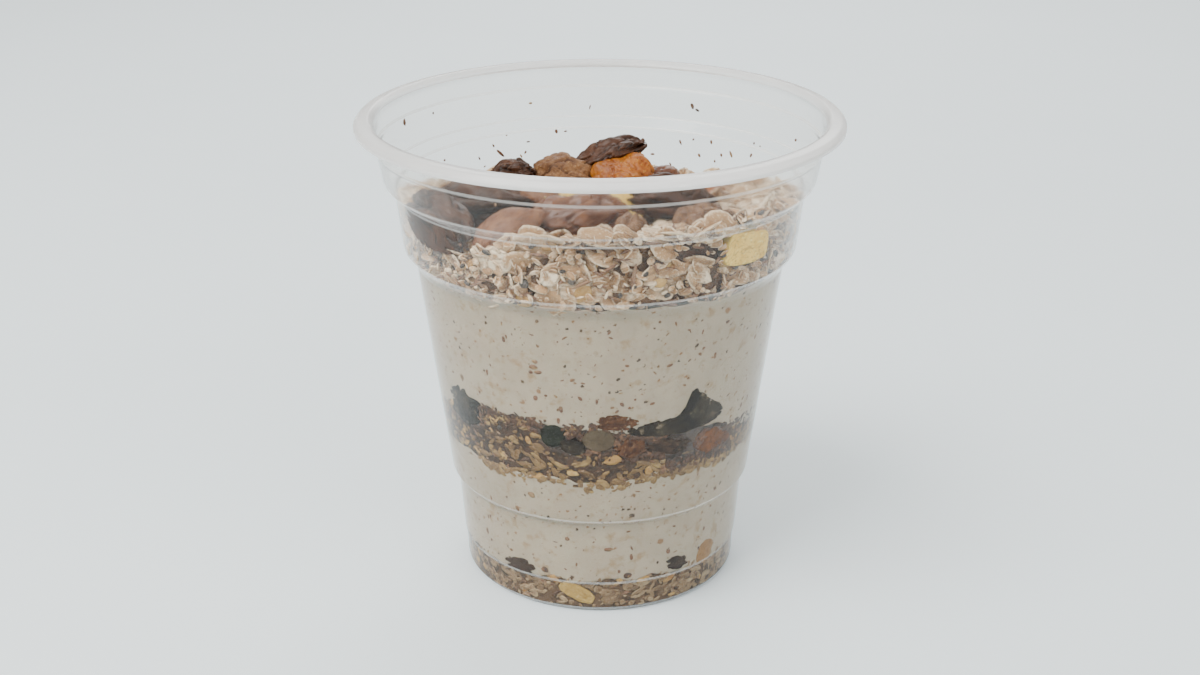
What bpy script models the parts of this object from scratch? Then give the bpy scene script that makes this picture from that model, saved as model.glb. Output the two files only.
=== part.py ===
"""A clear plastic cup of layered muesli and yogurt with a pile of dried fruit on top.

The cup stands on z = 0 with its axis on Z, and -Y is its front. Lengths are in metres.
The food is built from the bottom up, each layer settled against the inside of the wall.
"""

import bmesh
import bpy
import numpy as np
from mathutils import Euler, Matrix, Vector

MM = 0.001

# The cup's outside, from the foot up: radius and height where its line turns
RIM_RADIUS = 47.5 * MM
RIM_TOP = 95.4 * MM
SKIRT_BOTTOM = 93.4 * MM
WALL = 0.5 * MM
FLOOR_RAISE = 0.7 * MM
FOOT_RING_INSIDE = 21.5 * MM
OUTSIDE = [
    (27.3 * MM, 0.0 * MM),
    (28.2 * MM, 1.0 * MM),
    (28.5 * MM, 6.8 * MM),
    (29.7 * MM, 20.6 * MM),
    (30.9 * MM, 21.9 * MM),
    (36.7 * MM, 66.9 * MM),
    (39.0 * MM, 69.9 * MM),
    (40.2 * MM, 81.4 * MM),
    (42.3 * MM, 83.4 * MM),
    (43.5 * MM, 89.8 * MM),
    (44.1 * MM, 92.9 * MM),
]
ROUND_STEPS = 36

# The food: gaps, and the heights where one layer ends and the next begins
GAP = 0.3 * MM
FLOOR_TOP = FLOOR_RAISE + WALL
BASE_TOP = 7.9 * MM
MIDDLE_BOTTOM = 31.0 * MM
MIDDLE_TOP = 43.4 * MM
TOP_BOTTOM = 68.3 * MM
TOP_RIM = 83.4 * MM
TOP_CROWN = 76.4 * MM
# The muesli's top lies under a slope that falls to the back: its height in the middle, how steep it is, and
# how softly the two forms run together
TOP_MIDDLE = 78.8 * MM
TOP_SLOPE = 0.24
BLEND = 1.0 * MM
LAYER_WAVE = 0.7 * MM
CORE_INSET = 1.1 * MM
EDGE_ROOM = 0.5 * MM
# The layers' height fields are read on a disc of this radius, which each layer stretches out to the wall
FIELD_RADIUS = 36.0 * MM
SEED = 7
# How far the flakes stand out of the muesli's surface, and how far fruit at the wall stands clear of it, as a
# share of the fruit's depth
FLAKE_RISE = 0.45 * MM
WALL_SHARE = 0.14

# An oat flake: length, width and thickness
FLAKE = (8.4 * MM, 6.0 * MM, 2.0 * MM)

# Colours and finish: base colour, roughness, transmission
LOOKS = {
    "clear_plastic": ((0.90, 0.92, 0.92), 0.12, 0.85),
    "yogurt": ((0.80, 0.76, 0.69), 0.45, 0.0),
    "muesli": ((0.70, 0.55, 0.36), 0.75, 0.0),
    "dark_fruit": ((0.09, 0.045, 0.03), 0.40, 0.0),
    "brown_fruit": ((0.30, 0.14, 0.06), 0.45, 0.0),
    "amber_fruit": ((0.66, 0.30, 0.07), 0.35, 0.0),
    "yellow_fruit": ((0.85, 0.62, 0.22), 0.50, 0.0),
    "nut": ((0.62, 0.42, 0.26), 0.60, 0.0),
    "green_seed": ((0.10, 0.13, 0.07), 0.45, 0.0),
}

# Dried fruit and nuts in the pile, listed from the bottom up.
# name: kind, material, centre, (length, width, height), (tilt about X, tilt about Y, turn about Z),
# in mm and degrees
PILE = {
    "prune_back": ("wrinkled", "dark_fruit", (3, 15, 74.8), (19, 14, 7.6), (-8, -4, 20)),
    "date_back_left": ("wrinkled", "brown_fruit", (-17, 11, 75.8), (19, 13, 8), (-6, 2, 140)),
    "apricot_back": ("cupped", "amber_fruit", (18, 8, 76.6), (17, 15, 6.6), (-8, -4, 30)),
    "date_left": ("wrinkled", "dark_fruit", (-22, -12, 81), (20, 12, 10), (-6, -6, -14)),
    "prune_left": ("wrinkled", "dark_fruit", (-29.5, -22, 80.2), (17, 10.5, 11), (-8, 14, -52)),
    "date_front": ("wrinkled", "brown_fruit", (-4.5, -19.5, 79.8), (21, 11, 9.5), (6, -4, 4)),
    "prune_right": ("wrinkled", "dark_fruit", (13.5, -13, 82), (16.5, 11, 8), (-4, 6, 12)),
    "walnut_right": ("lobed", "nut", (18.5, -24.5, 80.6), (12.5, 9.5, 8), (8, -8, 24)),
    "almond_front": ("almond", "nut", (-16.5, -26.5, 80.2), (14.5, 8.5, 6), (34, -24, 10)),
    "walnut_front": ("lobed", "nut", (5.5, -26.5, 79.6), (8, 6, 7.6), (0, 10, 70)),
    "almond_middle": ("almond", "nut", (-12, -13, 83), (10, 7, 5), (10, -10, 150)),
    "banana_chip_left": ("chip", "yellow_fruit", (-5.5, -12, 80.6), (8.5, 8, 2.6), (42, -10, 20)),
    "banana_chip_front": ("chip", "yellow_fruit", (2.2, -15.5, 80.2), (11.5, 10, 3), (58, 4, 4)),
    "raisin_left": ("wrinkled", "dark_fruit", (-17.3, 0, 83.0), (9, 6.5, 5.2), (0, -12, -20)),
    "raisin_right": ("wrinkled", "brown_fruit", (12.6, 0.5, 81.9), (8, 6, 4.6), (0, 10, 40)),
    "date_middle": ("wrinkled", "brown_fruit", (-6.8, 0, 82.3), (13.5, 10, 8), (6, 4, -10)),
    "apricot_crest": ("cupped", "amber_fruit", (4.4, -3.4, 83.7), (12, 9.5, 8), (24, -8, -8)),
    "date_crest": ("wrinkled", "dark_fruit", (1.4, 2.2, 86.0), (14.5, 8.5, 5.6), (0, -20, 2)),
}

# Fruit, nuts and seeds that show at the wall inside the layers.
# name: kind, material, (angle from the front, height), (width, height, depth), lean, in mm and degrees
AT_WALL = {
    "prune_middle_left": ("wrinkled", "dark_fruit", (-52.5, 42.0), (12.0, 9.0, 6.0), 14),
    "prune_middle_right": ("fin", "dark_fruit", (27.0, 42.5), (23.5, 8.0, 6.0), 0),
    "pumpkin_seed_middle": ("almond", "green_seed", (-15.5, 41.4), (6.6, 5.4, 3.6), 60),
    "raisin_middle": ("wrinkled", "dark_fruit", (-9.0, 39.0), (5.8, 4.4, 4.2), -14),
    "hazelnut_middle": ("kernel", "nut", (-0.4, 40.6), (6.8, 5.4, 5.0), 0),
    "fig_middle": ("wrinkled", "brown_fruit", (5.3, 44.3), (9.8, 4.2, 4.0), -2),
    "date_low_left": ("wrinkled", "brown_fruit", (10.4, 38.6), (6.8, 4.6, 4.6), 18),
    "date_low_right": ("wrinkled", "brown_fruit", (23.5, 38.0), (10.6, 4.0, 4.6), -6),
    "apricot_middle": ("cupped", "amber_fruit", (43.0, 36.4), (9.4, 6.0, 4.6), -10),
    "raisin_base_right": ("wrinkled", "dark_fruit", (32.5, 9.4), (6.2, 4.0, 4.0), -14),
    "apricot_base": ("slab", "amber_fruit", (47.5, 9.0), (4.4, 5.4, 3.6), -20),
    "date_base_left": ("wrinkled", "dark_fruit", (-34.0, 8.4), (9.4, 4.0, 4.2), 6),
    "mango_base": ("slab", "yellow_fruit", (-9.5, 4.5), (7.4, 3.4, 3.4), -28),
    "mango_top": ("slab", "yellow_fruit", (43.0, 77.6), (11.5, 6.6, 4.0), -6),
    "prune_top": ("wrinkled", "dark_fruit", (27.0, 78.4), (13.0, 6.6, 5.0), -12),
}

# A piece longer than this, in mm, has 320 faces and a smaller one 80
SMALL_PIECE = 20
# How far the torn prune's peak stands up, as a share of its half height
FIN_PEAK = 2.15
# Folds and bends take a piece's surface out to this share of its half size
FOLD_REACH = 1.22
# Pieces are tested against each other when they lie nearer than this share of their two lengths
NEAR_SHARE = 0.62


def clear_scene():
    for old in list(bpy.data.objects):
        bpy.data.objects.remove(old, do_unlink=True)


def collection(name):
    made = bpy.data.collections.new(name)
    bpy.context.scene.collection.children.link(made)
    return made


def material(name):
    """The named look as a Principled material, made once."""
    found = bpy.data.materials.get(name)
    if found:
        return found
    colour, roughness, transmission = LOOKS[name]
    made = bpy.data.materials.new(name)
    made.use_nodes = True
    shader = made.node_tree.nodes["Principled BSDF"]
    shader.inputs["Base Color"].default_value = (*colour, 1.0)
    shader.inputs["Roughness"].default_value = roughness
    shader.inputs["Metallic"].default_value = 0.0
    shader.inputs["Transmission Weight"].default_value = transmission
    return made


def new_object(name, mesh, group):
    made = bpy.data.objects.new(name, mesh)
    group.objects.link(made)
    return made


def baked(obj):
    """Applies the object's modifiers to its mesh."""
    graph = bpy.context.evaluated_depsgraph_get()
    mesh = bpy.data.meshes.new_from_object(obj.evaluated_get(graph))
    obj.modifiers.clear()
    obj.data = mesh
    return obj


def turned(name, profile, group):
    """A profile of (radius, height) points, turned about Z. It runs down its outer side."""
    mesh = bpy.data.meshes.new(name)
    points = [(radius, 0.0, height) for radius, height in profile]
    mesh.from_pydata(points, [(i, i + 1) for i in range(len(points) - 1)], [])
    made = new_object(name, mesh, group)
    screw = made.modifiers.new("turn", "SCREW")
    screw.steps = screw.render_steps = ROUND_STEPS
    screw.use_merge_vertices = True
    screw.merge_threshold = 0.00001
    screw.use_smooth_shade = True
    return baked(made)


def combine(obj, others, operation, solver):
    """One Boolean between the object and a list of others, which are then removed."""
    if not others:
        return obj
    group = collection(obj.name + "_" + operation.lower())
    for other in others:
        for owner in list(other.users_collection):
            owner.objects.unlink(other)
        group.objects.link(other)
    step = obj.modifiers.new(operation.lower(), "BOOLEAN")
    step.operation = operation
    step.operand_type = "COLLECTION"
    step.collection = group
    step.solver = solver
    bpy.context.view_layer.update()
    baked(obj)
    for other in others:
        bpy.data.objects.remove(other, do_unlink=True)
    bpy.data.collections.remove(group)
    return obj


def largest_piece(obj):
    """Keeps the largest connected part of the mesh, so that no loose scrap is left."""
    shape = bmesh.new()
    shape.from_mesh(obj.data)
    bmesh.ops.triangulate(shape, faces=shape.faces)
    islands = []
    unseen = set(shape.verts)
    while unseen:
        front = [unseen.pop()]
        island = set(front)
        while front:
            vertex = front.pop()
            near = {edge.other_vert(vertex) for edge in vertex.link_edges} - island
            island |= near
            unseen -= near
            front.extend(near)
        islands.append(island)
    keep = max(islands, key=len)
    bmesh.ops.delete(shape, geom=[v for v in shape.verts if v not in keep], context="VERTS")
    shape.to_mesh(obj.data)
    shape.free()
    return obj


def inside_radius(height):
    """The inside of the cup's wall at a height."""
    heights = [z + (FLOOR_TOP if z == 0 else 0) for _, z in OUTSIDE]
    return np.interp(height, heights, [radius - WALL for radius, _ in OUTSIDE])


def fill_radius(height):
    """How far food may reach at a height, just clear of the wall."""
    return inside_radius(height) - GAP


def ripple(x, y, phase, pitch):
    """A smooth uneven field of about -1 to 1: three crossed waves, pitch apart."""
    turn = 2 * np.pi / pitch
    first = np.sin(turn * (x + 0.4 * y) + phase)
    second = np.sin(turn * (0.8 * y - 0.5 * x) * 1.27 + 2.1 * phase)
    third = np.sin(turn * (0.7 * x + 0.9 * y) * 0.53 + 3.7 * phase)
    return (first + second + third) / 3


def build_cup(group):
    """The wall's outside line, its inside a wall's thickness within, and a lip rolled over at the top."""
    inner = [(0.0, FLOOR_TOP), (FOOT_RING_INSIDE - WALL, FLOOR_TOP)]
    inner += [(OUTSIDE[0][0] - WALL, WALL), (OUTSIDE[1][0] - WALL, OUTSIDE[1][1] + WALL / 2)]
    inner += [(radius - WALL, height) for radius, height in OUTSIDE[2:-1]]
    lip_inside = OUTSIDE[-1][0] - WALL
    skirt_inside = RIM_RADIUS - WALL
    crown = [
        (lip_inside, RIM_TOP - 1.0 * MM),
        (lip_inside + 1.0 * MM, RIM_TOP),
        (RIM_RADIUS - 0.9 * MM, RIM_TOP - 0.3 * MM),
        (RIM_RADIUS, RIM_TOP - 1.2 * MM),
        (RIM_RADIUS, SKIRT_BOTTOM),
        (skirt_inside, SKIRT_BOTTOM),
        (skirt_inside, RIM_TOP - 1.6 * MM),
        (OUTSIDE[-1][0] + 0.6 * MM, RIM_TOP - WALL - 0.3 * MM),
    ]
    outer = list(reversed(OUTSIDE))
    foot = [(FOOT_RING_INSIDE, 0.0), (FOOT_RING_INSIDE - WALL, FLOOR_RAISE), (0.0, FLOOR_RAISE)]
    cup = turned("cup", inner + crown + outer + foot, group)
    cup.data.materials.append(material("clear_plastic"))
    return cup


def layer(name, low, high, group, rings=2, inset=0.0):
    """A turned slug of food whose bottom and top follow the height fields low and high, out to the wall.

    Its profile has radii from 0 to 1, and a height of 1 for the top and 0 for the bottom. Between them its
    side has a ring of points at each height where the wall turns.
    """
    lowest, highest = low(0, -FIELD_RADIUS), high(0, -FIELD_RADIUS)
    turns = [z for _, z in reversed(OUTSIDE) if lowest + EDGE_ROOM < z < highest - EDGE_ROOM]
    profile = [(i / rings, 1.0) for i in range(rings + 1)]
    profile += [(1.0, z) for z in turns] + [(1.0, 0.0), (0.5, 0.0), (0.0, 0.0)]
    made = turned(name, profile, group)
    for vertex in made.data.vertices:
        share = min(1.0, np.hypot(vertex.co.x, vertex.co.y))
        angle = np.arctan2(vertex.co.y, vertex.co.x)
        x, y = share * FIELD_RADIUS * np.cos(angle), share * FIELD_RADIUS * np.sin(angle)
        if vertex.co.z > 0.5:
            height = high(x, y)
        elif vertex.co.z == 0:
            height = low(x, y)
        else:
            height = min(vertex.co.z, high(x, y) - EDGE_ROOM)
        radius = share * (fill_radius(height) - inset)
        vertex.co = (radius * np.cos(angle), radius * np.sin(angle), height)
    return made


def base_top(x, y):
    return BASE_TOP + LAYER_WAVE * ripple(x, y, 0.6, 14 * MM)


def middle_bottom(x, y):
    return MIDDLE_BOTTOM + 1.2 * LAYER_WAVE * ripple(x, y, 1.9, 13 * MM)


def middle_top(x, y):
    """Higher at the left than at the right, and sunk at both sides of the cup."""
    sides = -9.0 * MM * min(abs(x) / FIELD_RADIUS, 0.92) ** 6
    return MIDDLE_TOP - 0.07 * x + sides + 1.5 * LAYER_WAVE * ripple(x, y, 2.7, 15 * MM)


def top_bottom(x, y):
    return TOP_BOTTOM + 0.25 * LAYER_WAVE * ripple(x, y, 0.2, 16 * MM)


def top_top(x, y):
    """Pushed down under the fruit and up at the wall, with a dip at the left, sloping to the back."""
    share = min(1.0, np.hypot(x, y) / FIELD_RADIUS)
    left = np.exp(-(((x + 28 * MM) ** 2 + (y + 26 * MM) ** 2) / (13 * MM) ** 2))
    height = TOP_CROWN + (TOP_RIM - TOP_CROWN) * share**4 - 7.0 * MM * left + 0.03 * x * share
    slope = TOP_MIDDLE - TOP_SLOPE * y
    height = slope - BLEND * np.log1p(np.exp((slope - height) / BLEND))
    return height + LAYER_WAVE * ripple(x, y, 1.3, 12 * MM) * min(1.0, (height - TOP_BOTTOM) / (4 * MM))


def wrinkled(point, n):
    """A dried fruit: an ellipsoid with folds that run along it."""
    around = np.arctan2(point.z, point.y)
    fold = 0.085 * np.sin(5 * around + 2.3 * point.x + n) + 0.05 * np.sin(9 * around - 3 * point.x)
    bend = Vector((0, 0, -0.16 * point.x**2))
    return point * (1 + fold) + bend


def fin(point, n):
    """A torn prune: a long low band whose upper side has one tall peak, steep at its left."""
    if point.y < 0:
        return Vector((point.x, 0.6 * point.y, point.z))
    left = 1 / (1 + np.exp((0.09 - point.x) / 0.05))
    right = 1 - 1.2 * max(0.0, point.x - 0.22)
    return Vector((point.x, (0.5 + (FIN_PEAK - 0.5) * left * right) * point.y, point.z))


def kernel(point, n):
    """A plain egg of a nut."""
    return point


def lobed(point, n):
    """A nut kernel: two lobes with a groove between them and knobs over both."""
    groove = 1 - 0.24 * np.exp(-((point.y / 0.22) ** 2))
    knob = 1 + 0.10 * np.sin(6 * point.x + n) * np.sin(5 * point.y + 1 + n)
    return point * groove * knob


def cupped(point, n):
    """A halved apricot: a thick disc whose middle is pressed in and whose edge curls."""
    across = point.x**2 + point.y**2
    curl = 0.25 * np.sin(3 * np.arctan2(point.y, point.x) + n) * across
    dent = -0.35 * (1 - across) if point.z > 0 else 0.0
    return Vector((point.x, point.y, point.z + curl + dent))


def almond(point, n):
    """A seed that narrows to a point at one end."""
    narrow = 1 - 0.42 * max(0.0, point.x) ** 1.5
    return Vector((point.x, point.y * narrow, point.z * narrow))


def chip(point, n):
    """A round slice with a squared edge, slightly dished."""
    edge = np.hypot(point.x, point.y)
    flat = np.clip(point.z * 2.2, -1, 1)
    wide = min(1.25, 1 / max(edge, 0.8))
    return Vector((point.x * wide, point.y * wide, flat + 0.30 * edge**2 + 0.08 * np.sin(4 * point.x + n)))


def slab(point, n):
    """A cut piece of fruit: a rounded block."""
    block = [np.sign(c) * abs(c) ** 0.55 for c in point]
    return Vector(block) * (1 + 0.05 * np.sin(3 * point.x + 4 * point.y + n))


KINDS = {f.__name__: f for f in (wrinkled, fin, kernel, lobed, cupped, almond, chip, slab)}


def morsel(name, form, group, grow=0.0):
    """A piece of fruit or nut: an icosphere shaped by its kind, sized, placed and swelled by grow."""
    kind, n, size, (there, _), detail = form
    shape = bmesh.new()
    bmesh.ops.create_icosphere(shape, subdivisions=detail, radius=1.0)
    half = [side / 2 + grow for side in size]
    for vertex in shape.verts:
        point = KINDS[kind](vertex.co.copy(), n)
        vertex.co = there(Vector([c * h for c, h in zip(point, half)]))
    mesh = bpy.data.meshes.new(name)
    shape.to_mesh(mesh)
    shape.free()
    mesh.shade_smooth()
    return new_object(name, mesh, group)


def pile_maps(centre, turn):
    """How a piece of the pile goes from its own frame to its place, and back."""
    angles = Euler([np.radians(a) for a in turn])
    there = Matrix.Translation(Vector(centre) * MM) @ angles.to_matrix().to_4x4()
    back = there.inverted()
    return (lambda point: there @ point), (lambda point: back @ point)


def wall_maps(angle, height, depth, lean):
    """The same for a piece wrapped along the wall: its X goes round it, its Y up it and its Z outwards."""
    around, lean = np.radians(angle), np.radians(lean)
    reach = fill_radius(height)

    def there(point):
        x = point.x * np.cos(lean) - point.y * np.sin(lean)
        z = height + point.x * np.sin(lean) + point.y * np.cos(lean)
        radius = fill_radius(z) - WALL_SHARE * depth + point.z
        return Vector((radius * np.sin(around + x / reach), -radius * np.cos(around + x / reach), z))

    def back(point):
        turn = (np.arctan2(point.x, -point.y) - around + np.pi) % (2 * np.pi) - np.pi
        x, y = turn * reach, point.z - height
        out = np.hypot(point.x, point.y) - fill_radius(point.z) + WALL_SHARE * depth
        return Vector((x * np.cos(lean) + y * np.sin(lean), y * np.cos(lean) - x * np.sin(lean), out))

    return there, back


def placed_morsels():
    """Every piece of fruit, nut and seed as name: (kind, number, size, (map there, map back), detail)."""
    found = {}
    for name, (kind, _, (angle, height), size, lean) in AT_WALL.items():
        size = [side * MM for side in size]
        found[name] = (kind, len(found), size, wall_maps(angle, height * MM, size[2], lean), 2)
    for name, (kind, _, centre, size, turn) in PILE.items():
        detail = 3 if size[0] > SMALL_PIECE else 2
        found[name] = (kind, len(found), [side * MM for side in size], pile_maps(centre, turn), detail)
    return found


def middle_of(form):
    return form[3][0](Vector((0, 0, 0)))


def build_morsels(group, spare):
    """Each piece is cut back from those before it, the wall and the muesli, so that nothing touches."""
    placed = placed_morsels()
    names = list(placed)
    for i, name in enumerate(names):
        form = placed[name]
        made = morsel(name, form, group)
        made.data.materials.append(material((AT_WALL | PILE)[name][1]))
        near = []
        for other in names[:i]:
            apart = (middle_of(form) - middle_of(placed[other])).length
            if apart < (max(form[2]) + max(placed[other][2])) * NEAR_SHARE:
                near.append(morsel(f"{name}_by_{other}", placed[other], spare, GAP))
        if name in PILE:
            over = raised(top_top, 2 * GAP)
            near.append(layer("muesli_room", top_bottom, over, spare, 4, CORE_INSET - 2 * GAP))
        combine(made, near, "DIFFERENCE", "MANIFOLD")
        combine(made, [envelope(spare)], "INTERSECT", "MANIFOLD")
        largest_piece(made)


def envelope(group):
    """The space inside the wall that food may fill, up to the lip."""
    top = RIM_TOP - 1.5 * MM
    heights = [FLOOR_TOP + GAP] + [z for _, z in OUTSIDE[1:-1]] + [top]
    line = [(fill_radius(z), z) for z in reversed(heights)]
    return turned("envelope", [(0.0, top)] + line + [(0.0, heights[0])], group)


def swollen_morsels(spare, reach):
    """Cutters that clear each piece of fruit at the wall which comes between the two heights in reach."""
    low, high = reach
    placed = placed_morsels()
    cutters = []
    for name in AT_WALL:
        reach = max(placed[name][2])
        if low - reach < middle_of(placed[name]).z < high + reach:
            cutters.append(morsel(name + "_room", placed[name], spare, 1.2 * GAP))
    return cutters


def crosses_fruit(shape, placed):
    """True if a corner of the flake would come into any piece of fruit, or too near it."""
    for kind, _, size, (_, back), _ in placed.values():
        half = [FOLD_REACH * side / 2 + 2 * GAP for side in size]
        half[1] *= FIN_PEAK if kind == "fin" else 1
        for vertex in shape.verts:
            if sum((c / h) ** 2 for c, h in zip(back(vertex.co), half)) < 1:
                return True
    return False


def flake(name, place, turn, size, group):
    """One flat flake with few sides, lying in the plane that turn sets, or none where fruit is in its way."""
    shape = bmesh.new()
    bmesh.ops.create_icosphere(shape, subdivisions=1, radius=1.0)
    stretch = Matrix.Diagonal([side / 2 for side in size]).to_4x4()
    bmesh.ops.transform(shape, matrix=Matrix.Translation(place) @ turn @ stretch, verts=shape.verts)
    made = []
    if not crosses_fruit(shape, placed_morsels()):
        mesh = bpy.data.meshes.new(name)
        shape.to_mesh(mesh)
        made.append(new_object(name, mesh, group))
    shape.free()
    return made


def wall_flakes(name, low, high, rows, around, draw, group):
    """Rows of flakes that lie against the wall between two height fields, turned at random."""
    made = []
    for row in range(rows):
        for step in range(around):
            angle = 2 * np.pi * (step + 0.5 * (row % 2) + draw.uniform(-0.25, 0.25)) / around
            size = [side * draw.uniform(0.8, 1.15) for side in FLAKE]
            beside = angle + np.linspace(-0.6, 0.6, 5) * size[0] / FIELD_RADIUS
            places = [(FIELD_RADIUS * np.cos(a), FIELD_RADIUS * np.sin(a)) for a in beside]
            lowest, highest = max(low(*xy) for xy in places), min(high(*xy) for xy in places)
            room = highest - lowest
            size[1] = min(size[1], 0.72 * room)
            half = size[1] / 2 + EDGE_ROOM
            height = min(max(lowest + room * (row + 0.5) / rows, lowest + half), highest - half)
            span = half * np.linspace(-1, 1, 5)
            wall = fill_radius(height + span)
            slope = (wall[-1] - wall[0]) / (2 * half)
            radius = np.min(wall - slope * span) - 0.5 * size[2] - 0.1 * MM
            place = Vector((radius * np.cos(angle), radius * np.sin(angle), height))
            upright = Matrix.Rotation(np.pi / 2 + np.arctan(slope), 4, "X")
            out = Matrix.Rotation(angle + np.pi / 2, 4, "Z") @ upright
            lean = Matrix.Rotation(draw.uniform(-0.28, 0.28), 4, "Z")
            made += flake(f"{name}_{row}_{step}", place, out @ lean, size, group)
    return made


def surface_flakes(name, count, draw, group):
    """Flakes strewn over the top by the golden angle, so that they are even, each tipped at random."""
    golden = np.pi * (3 - np.sqrt(5))
    made = []
    for i in range(count):
        share = 0.9 * np.sqrt((i + 0.5) / count)
        x, y = share * np.cos(i * golden), share * np.sin(i * golden)
        height = top_top(x * FIELD_RADIUS, y * FIELD_RADIUS)
        place = Vector((x * fill_radius(height), y * fill_radius(height), height + FLAKE_RISE))
        size = [side * draw.uniform(0.8, 1.15) for side in FLAKE]
        tips = (draw.uniform(-0.35, 0.35), draw.uniform(-0.35, 0.35), draw.uniform(0, 2 * np.pi))
        made += flake(f"{name}_{i}", place, Euler(tips).to_matrix().to_4x4(), size, group)
    return made


def finish_muesli(core, flakes, reach, spare):
    """Fuses the flakes to their core and makes room for the fruit at the wall."""
    core.data.materials.append(material("muesli"))
    combine(core, flakes, "UNION", "MANIFOLD")
    combine(core, swollen_morsels(spare, reach), "DIFFERENCE", "MANIFOLD")
    return largest_piece(core)


def raised(field, by):
    return lambda x, y: field(x, y) + by


def build_food(group, spare):
    draw = np.random.default_rng(SEED)
    floor = raised(lambda x, y: FLOOR_TOP, GAP)

    base = layer("muesli_base", floor, base_top, group, 2, CORE_INSET)
    flakes = wall_flakes("base", floor, base_top, 1, 13, draw, spare)
    finish_muesli(base, flakes, (FLOOR_TOP, BASE_TOP), spare)

    middle = layer("muesli_middle", middle_bottom, middle_top, group, 2, CORE_INSET)
    flakes = wall_flakes("middle", middle_bottom, middle_top, 2, 11, draw, spare)
    finish_muesli(middle, flakes, (MIDDLE_BOTTOM, MIDDLE_TOP), spare)

    top = layer("muesli_top", top_bottom, top_top, group, 4, CORE_INSET)
    flakes = wall_flakes("top", top_bottom, raised(top_top, 0.4 * MM), 2, 19, draw, spare)
    flakes += surface_flakes("strewn", 88, draw, spare)
    finish_muesli(top, flakes, (TOP_BOTTOM, TOP_RIM), spare)

    yogurts = (
        ("yogurt_lower", raised(base_top, GAP), raised(middle_bottom, -GAP)),
        ("yogurt_upper", raised(middle_top, GAP), raised(top_bottom, -GAP)),
    )
    for name, low, high in yogurts:
        made = layer(name, low, high, group)
        made.data.materials.append(material("yogurt"))
        combine(made, swollen_morsels(spare, (low(0, 0), high(0, 0))), "DIFFERENCE", "MANIFOLD")
        largest_piece(made)


def main():
    clear_scene()
    dessert = collection("layered_yogurt_cup")
    spare = collection("helpers")
    build_cup(dessert)
    build_food(dessert, spare)
    build_morsels(dessert, spare)
    bpy.data.collections.remove(spare)


main()
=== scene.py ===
"""A clear plastic cup of yogurt layered with muesli and topped with dried fruit, dressed for close views.

Lengths are in mm until a mesh is made. The cup stands on z = 0 with its axis on Z, and -Y is its front.
Angles round the cup are measured from the front towards +X.
"""

import bpy
import numpy as np
from mathutils import Euler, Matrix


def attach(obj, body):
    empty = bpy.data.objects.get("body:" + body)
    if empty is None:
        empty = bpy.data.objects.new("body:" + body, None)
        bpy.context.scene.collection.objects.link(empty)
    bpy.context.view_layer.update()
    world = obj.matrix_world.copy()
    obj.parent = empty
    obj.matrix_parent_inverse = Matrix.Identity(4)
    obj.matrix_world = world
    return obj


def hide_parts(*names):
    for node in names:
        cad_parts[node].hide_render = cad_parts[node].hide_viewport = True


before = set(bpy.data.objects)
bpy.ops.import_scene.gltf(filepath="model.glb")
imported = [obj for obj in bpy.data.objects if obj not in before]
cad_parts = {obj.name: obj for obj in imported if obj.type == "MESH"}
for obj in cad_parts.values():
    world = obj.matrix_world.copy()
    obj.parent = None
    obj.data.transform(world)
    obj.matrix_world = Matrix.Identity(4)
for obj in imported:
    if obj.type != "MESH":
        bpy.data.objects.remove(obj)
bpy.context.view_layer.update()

MM = 0.001
TURN = 2 * np.pi

# The cup, as in the part, with the small steps that its wall has too
RIM_RADIUS = 47.5
RIM_TOP = 95.4
SKIRT_BOTTOM = 93.4
WALL = 0.5
FLOOR_RAISE = 0.7
FLOOR_TOP = FLOOR_RAISE + WALL
FOOT_RING_INSIDE = 21.5
# The outside of the wall from the foot up: radius, height
OUTSIDE = [
    (27.3, 0.0), (28.2, 1.0), (28.35, 6.5), (28.75, 7.1), (29.7, 20.6), (30.9, 21.9), (36.6, 66.5),
    (37.3, 67.9), (39.0, 69.9), (40.2, 81.4), (42.3, 83.4), (43.35, 89.3), (43.8, 89.9), (44.1, 92.9),
]
CUP_STEPS = 192
CORNER_RADIUS = 0.3
# Above this the plastic is milkier, a painted reflection and shade: the whitish grey look that the rolled
# lip's many inner surfaces give
LIP_HEIGHT = 93.2
# Heights where the wall turns, and where milkier plastic at its thicker corner gives a light line, a painted
# highlight; and how far that line reaches up and down
RINGS = (7.1, 21.9, 69.9, 81.4, 83.4, 89.9)
RING_HIGHLIGHT_REACH = 0.42

# The food, as in the part
BASE_TOP = 7.9
MIDDLE_BOTTOM = 31.0
MIDDLE_TOP = 43.4
TOP_BOTTOM = 68.3
TOP_RIM = 83.4
TOP_CROWN = 76.4
TOP_MIDDLE = 78.8
TOP_SLOPE = 0.24
BLEND = 1.0
LAYER_WAVE = 0.7
FIELD_RADIUS = 36.0
GAP = 0.3
WALL_SHARE = 0.14
FIN_PEAK = 2.15
# How far what fills the cup reaches into its wall, so that no air shows between them
YOGURT_INTO = 0.16
FLAKE_INTO = 0.26
FRUIT_INTO = 0.32
SEED_INTO = 0.31
CORN_INTO = 0.29
SOAKED_INTO = 0.28
CORE_INTO = 0.10

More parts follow.
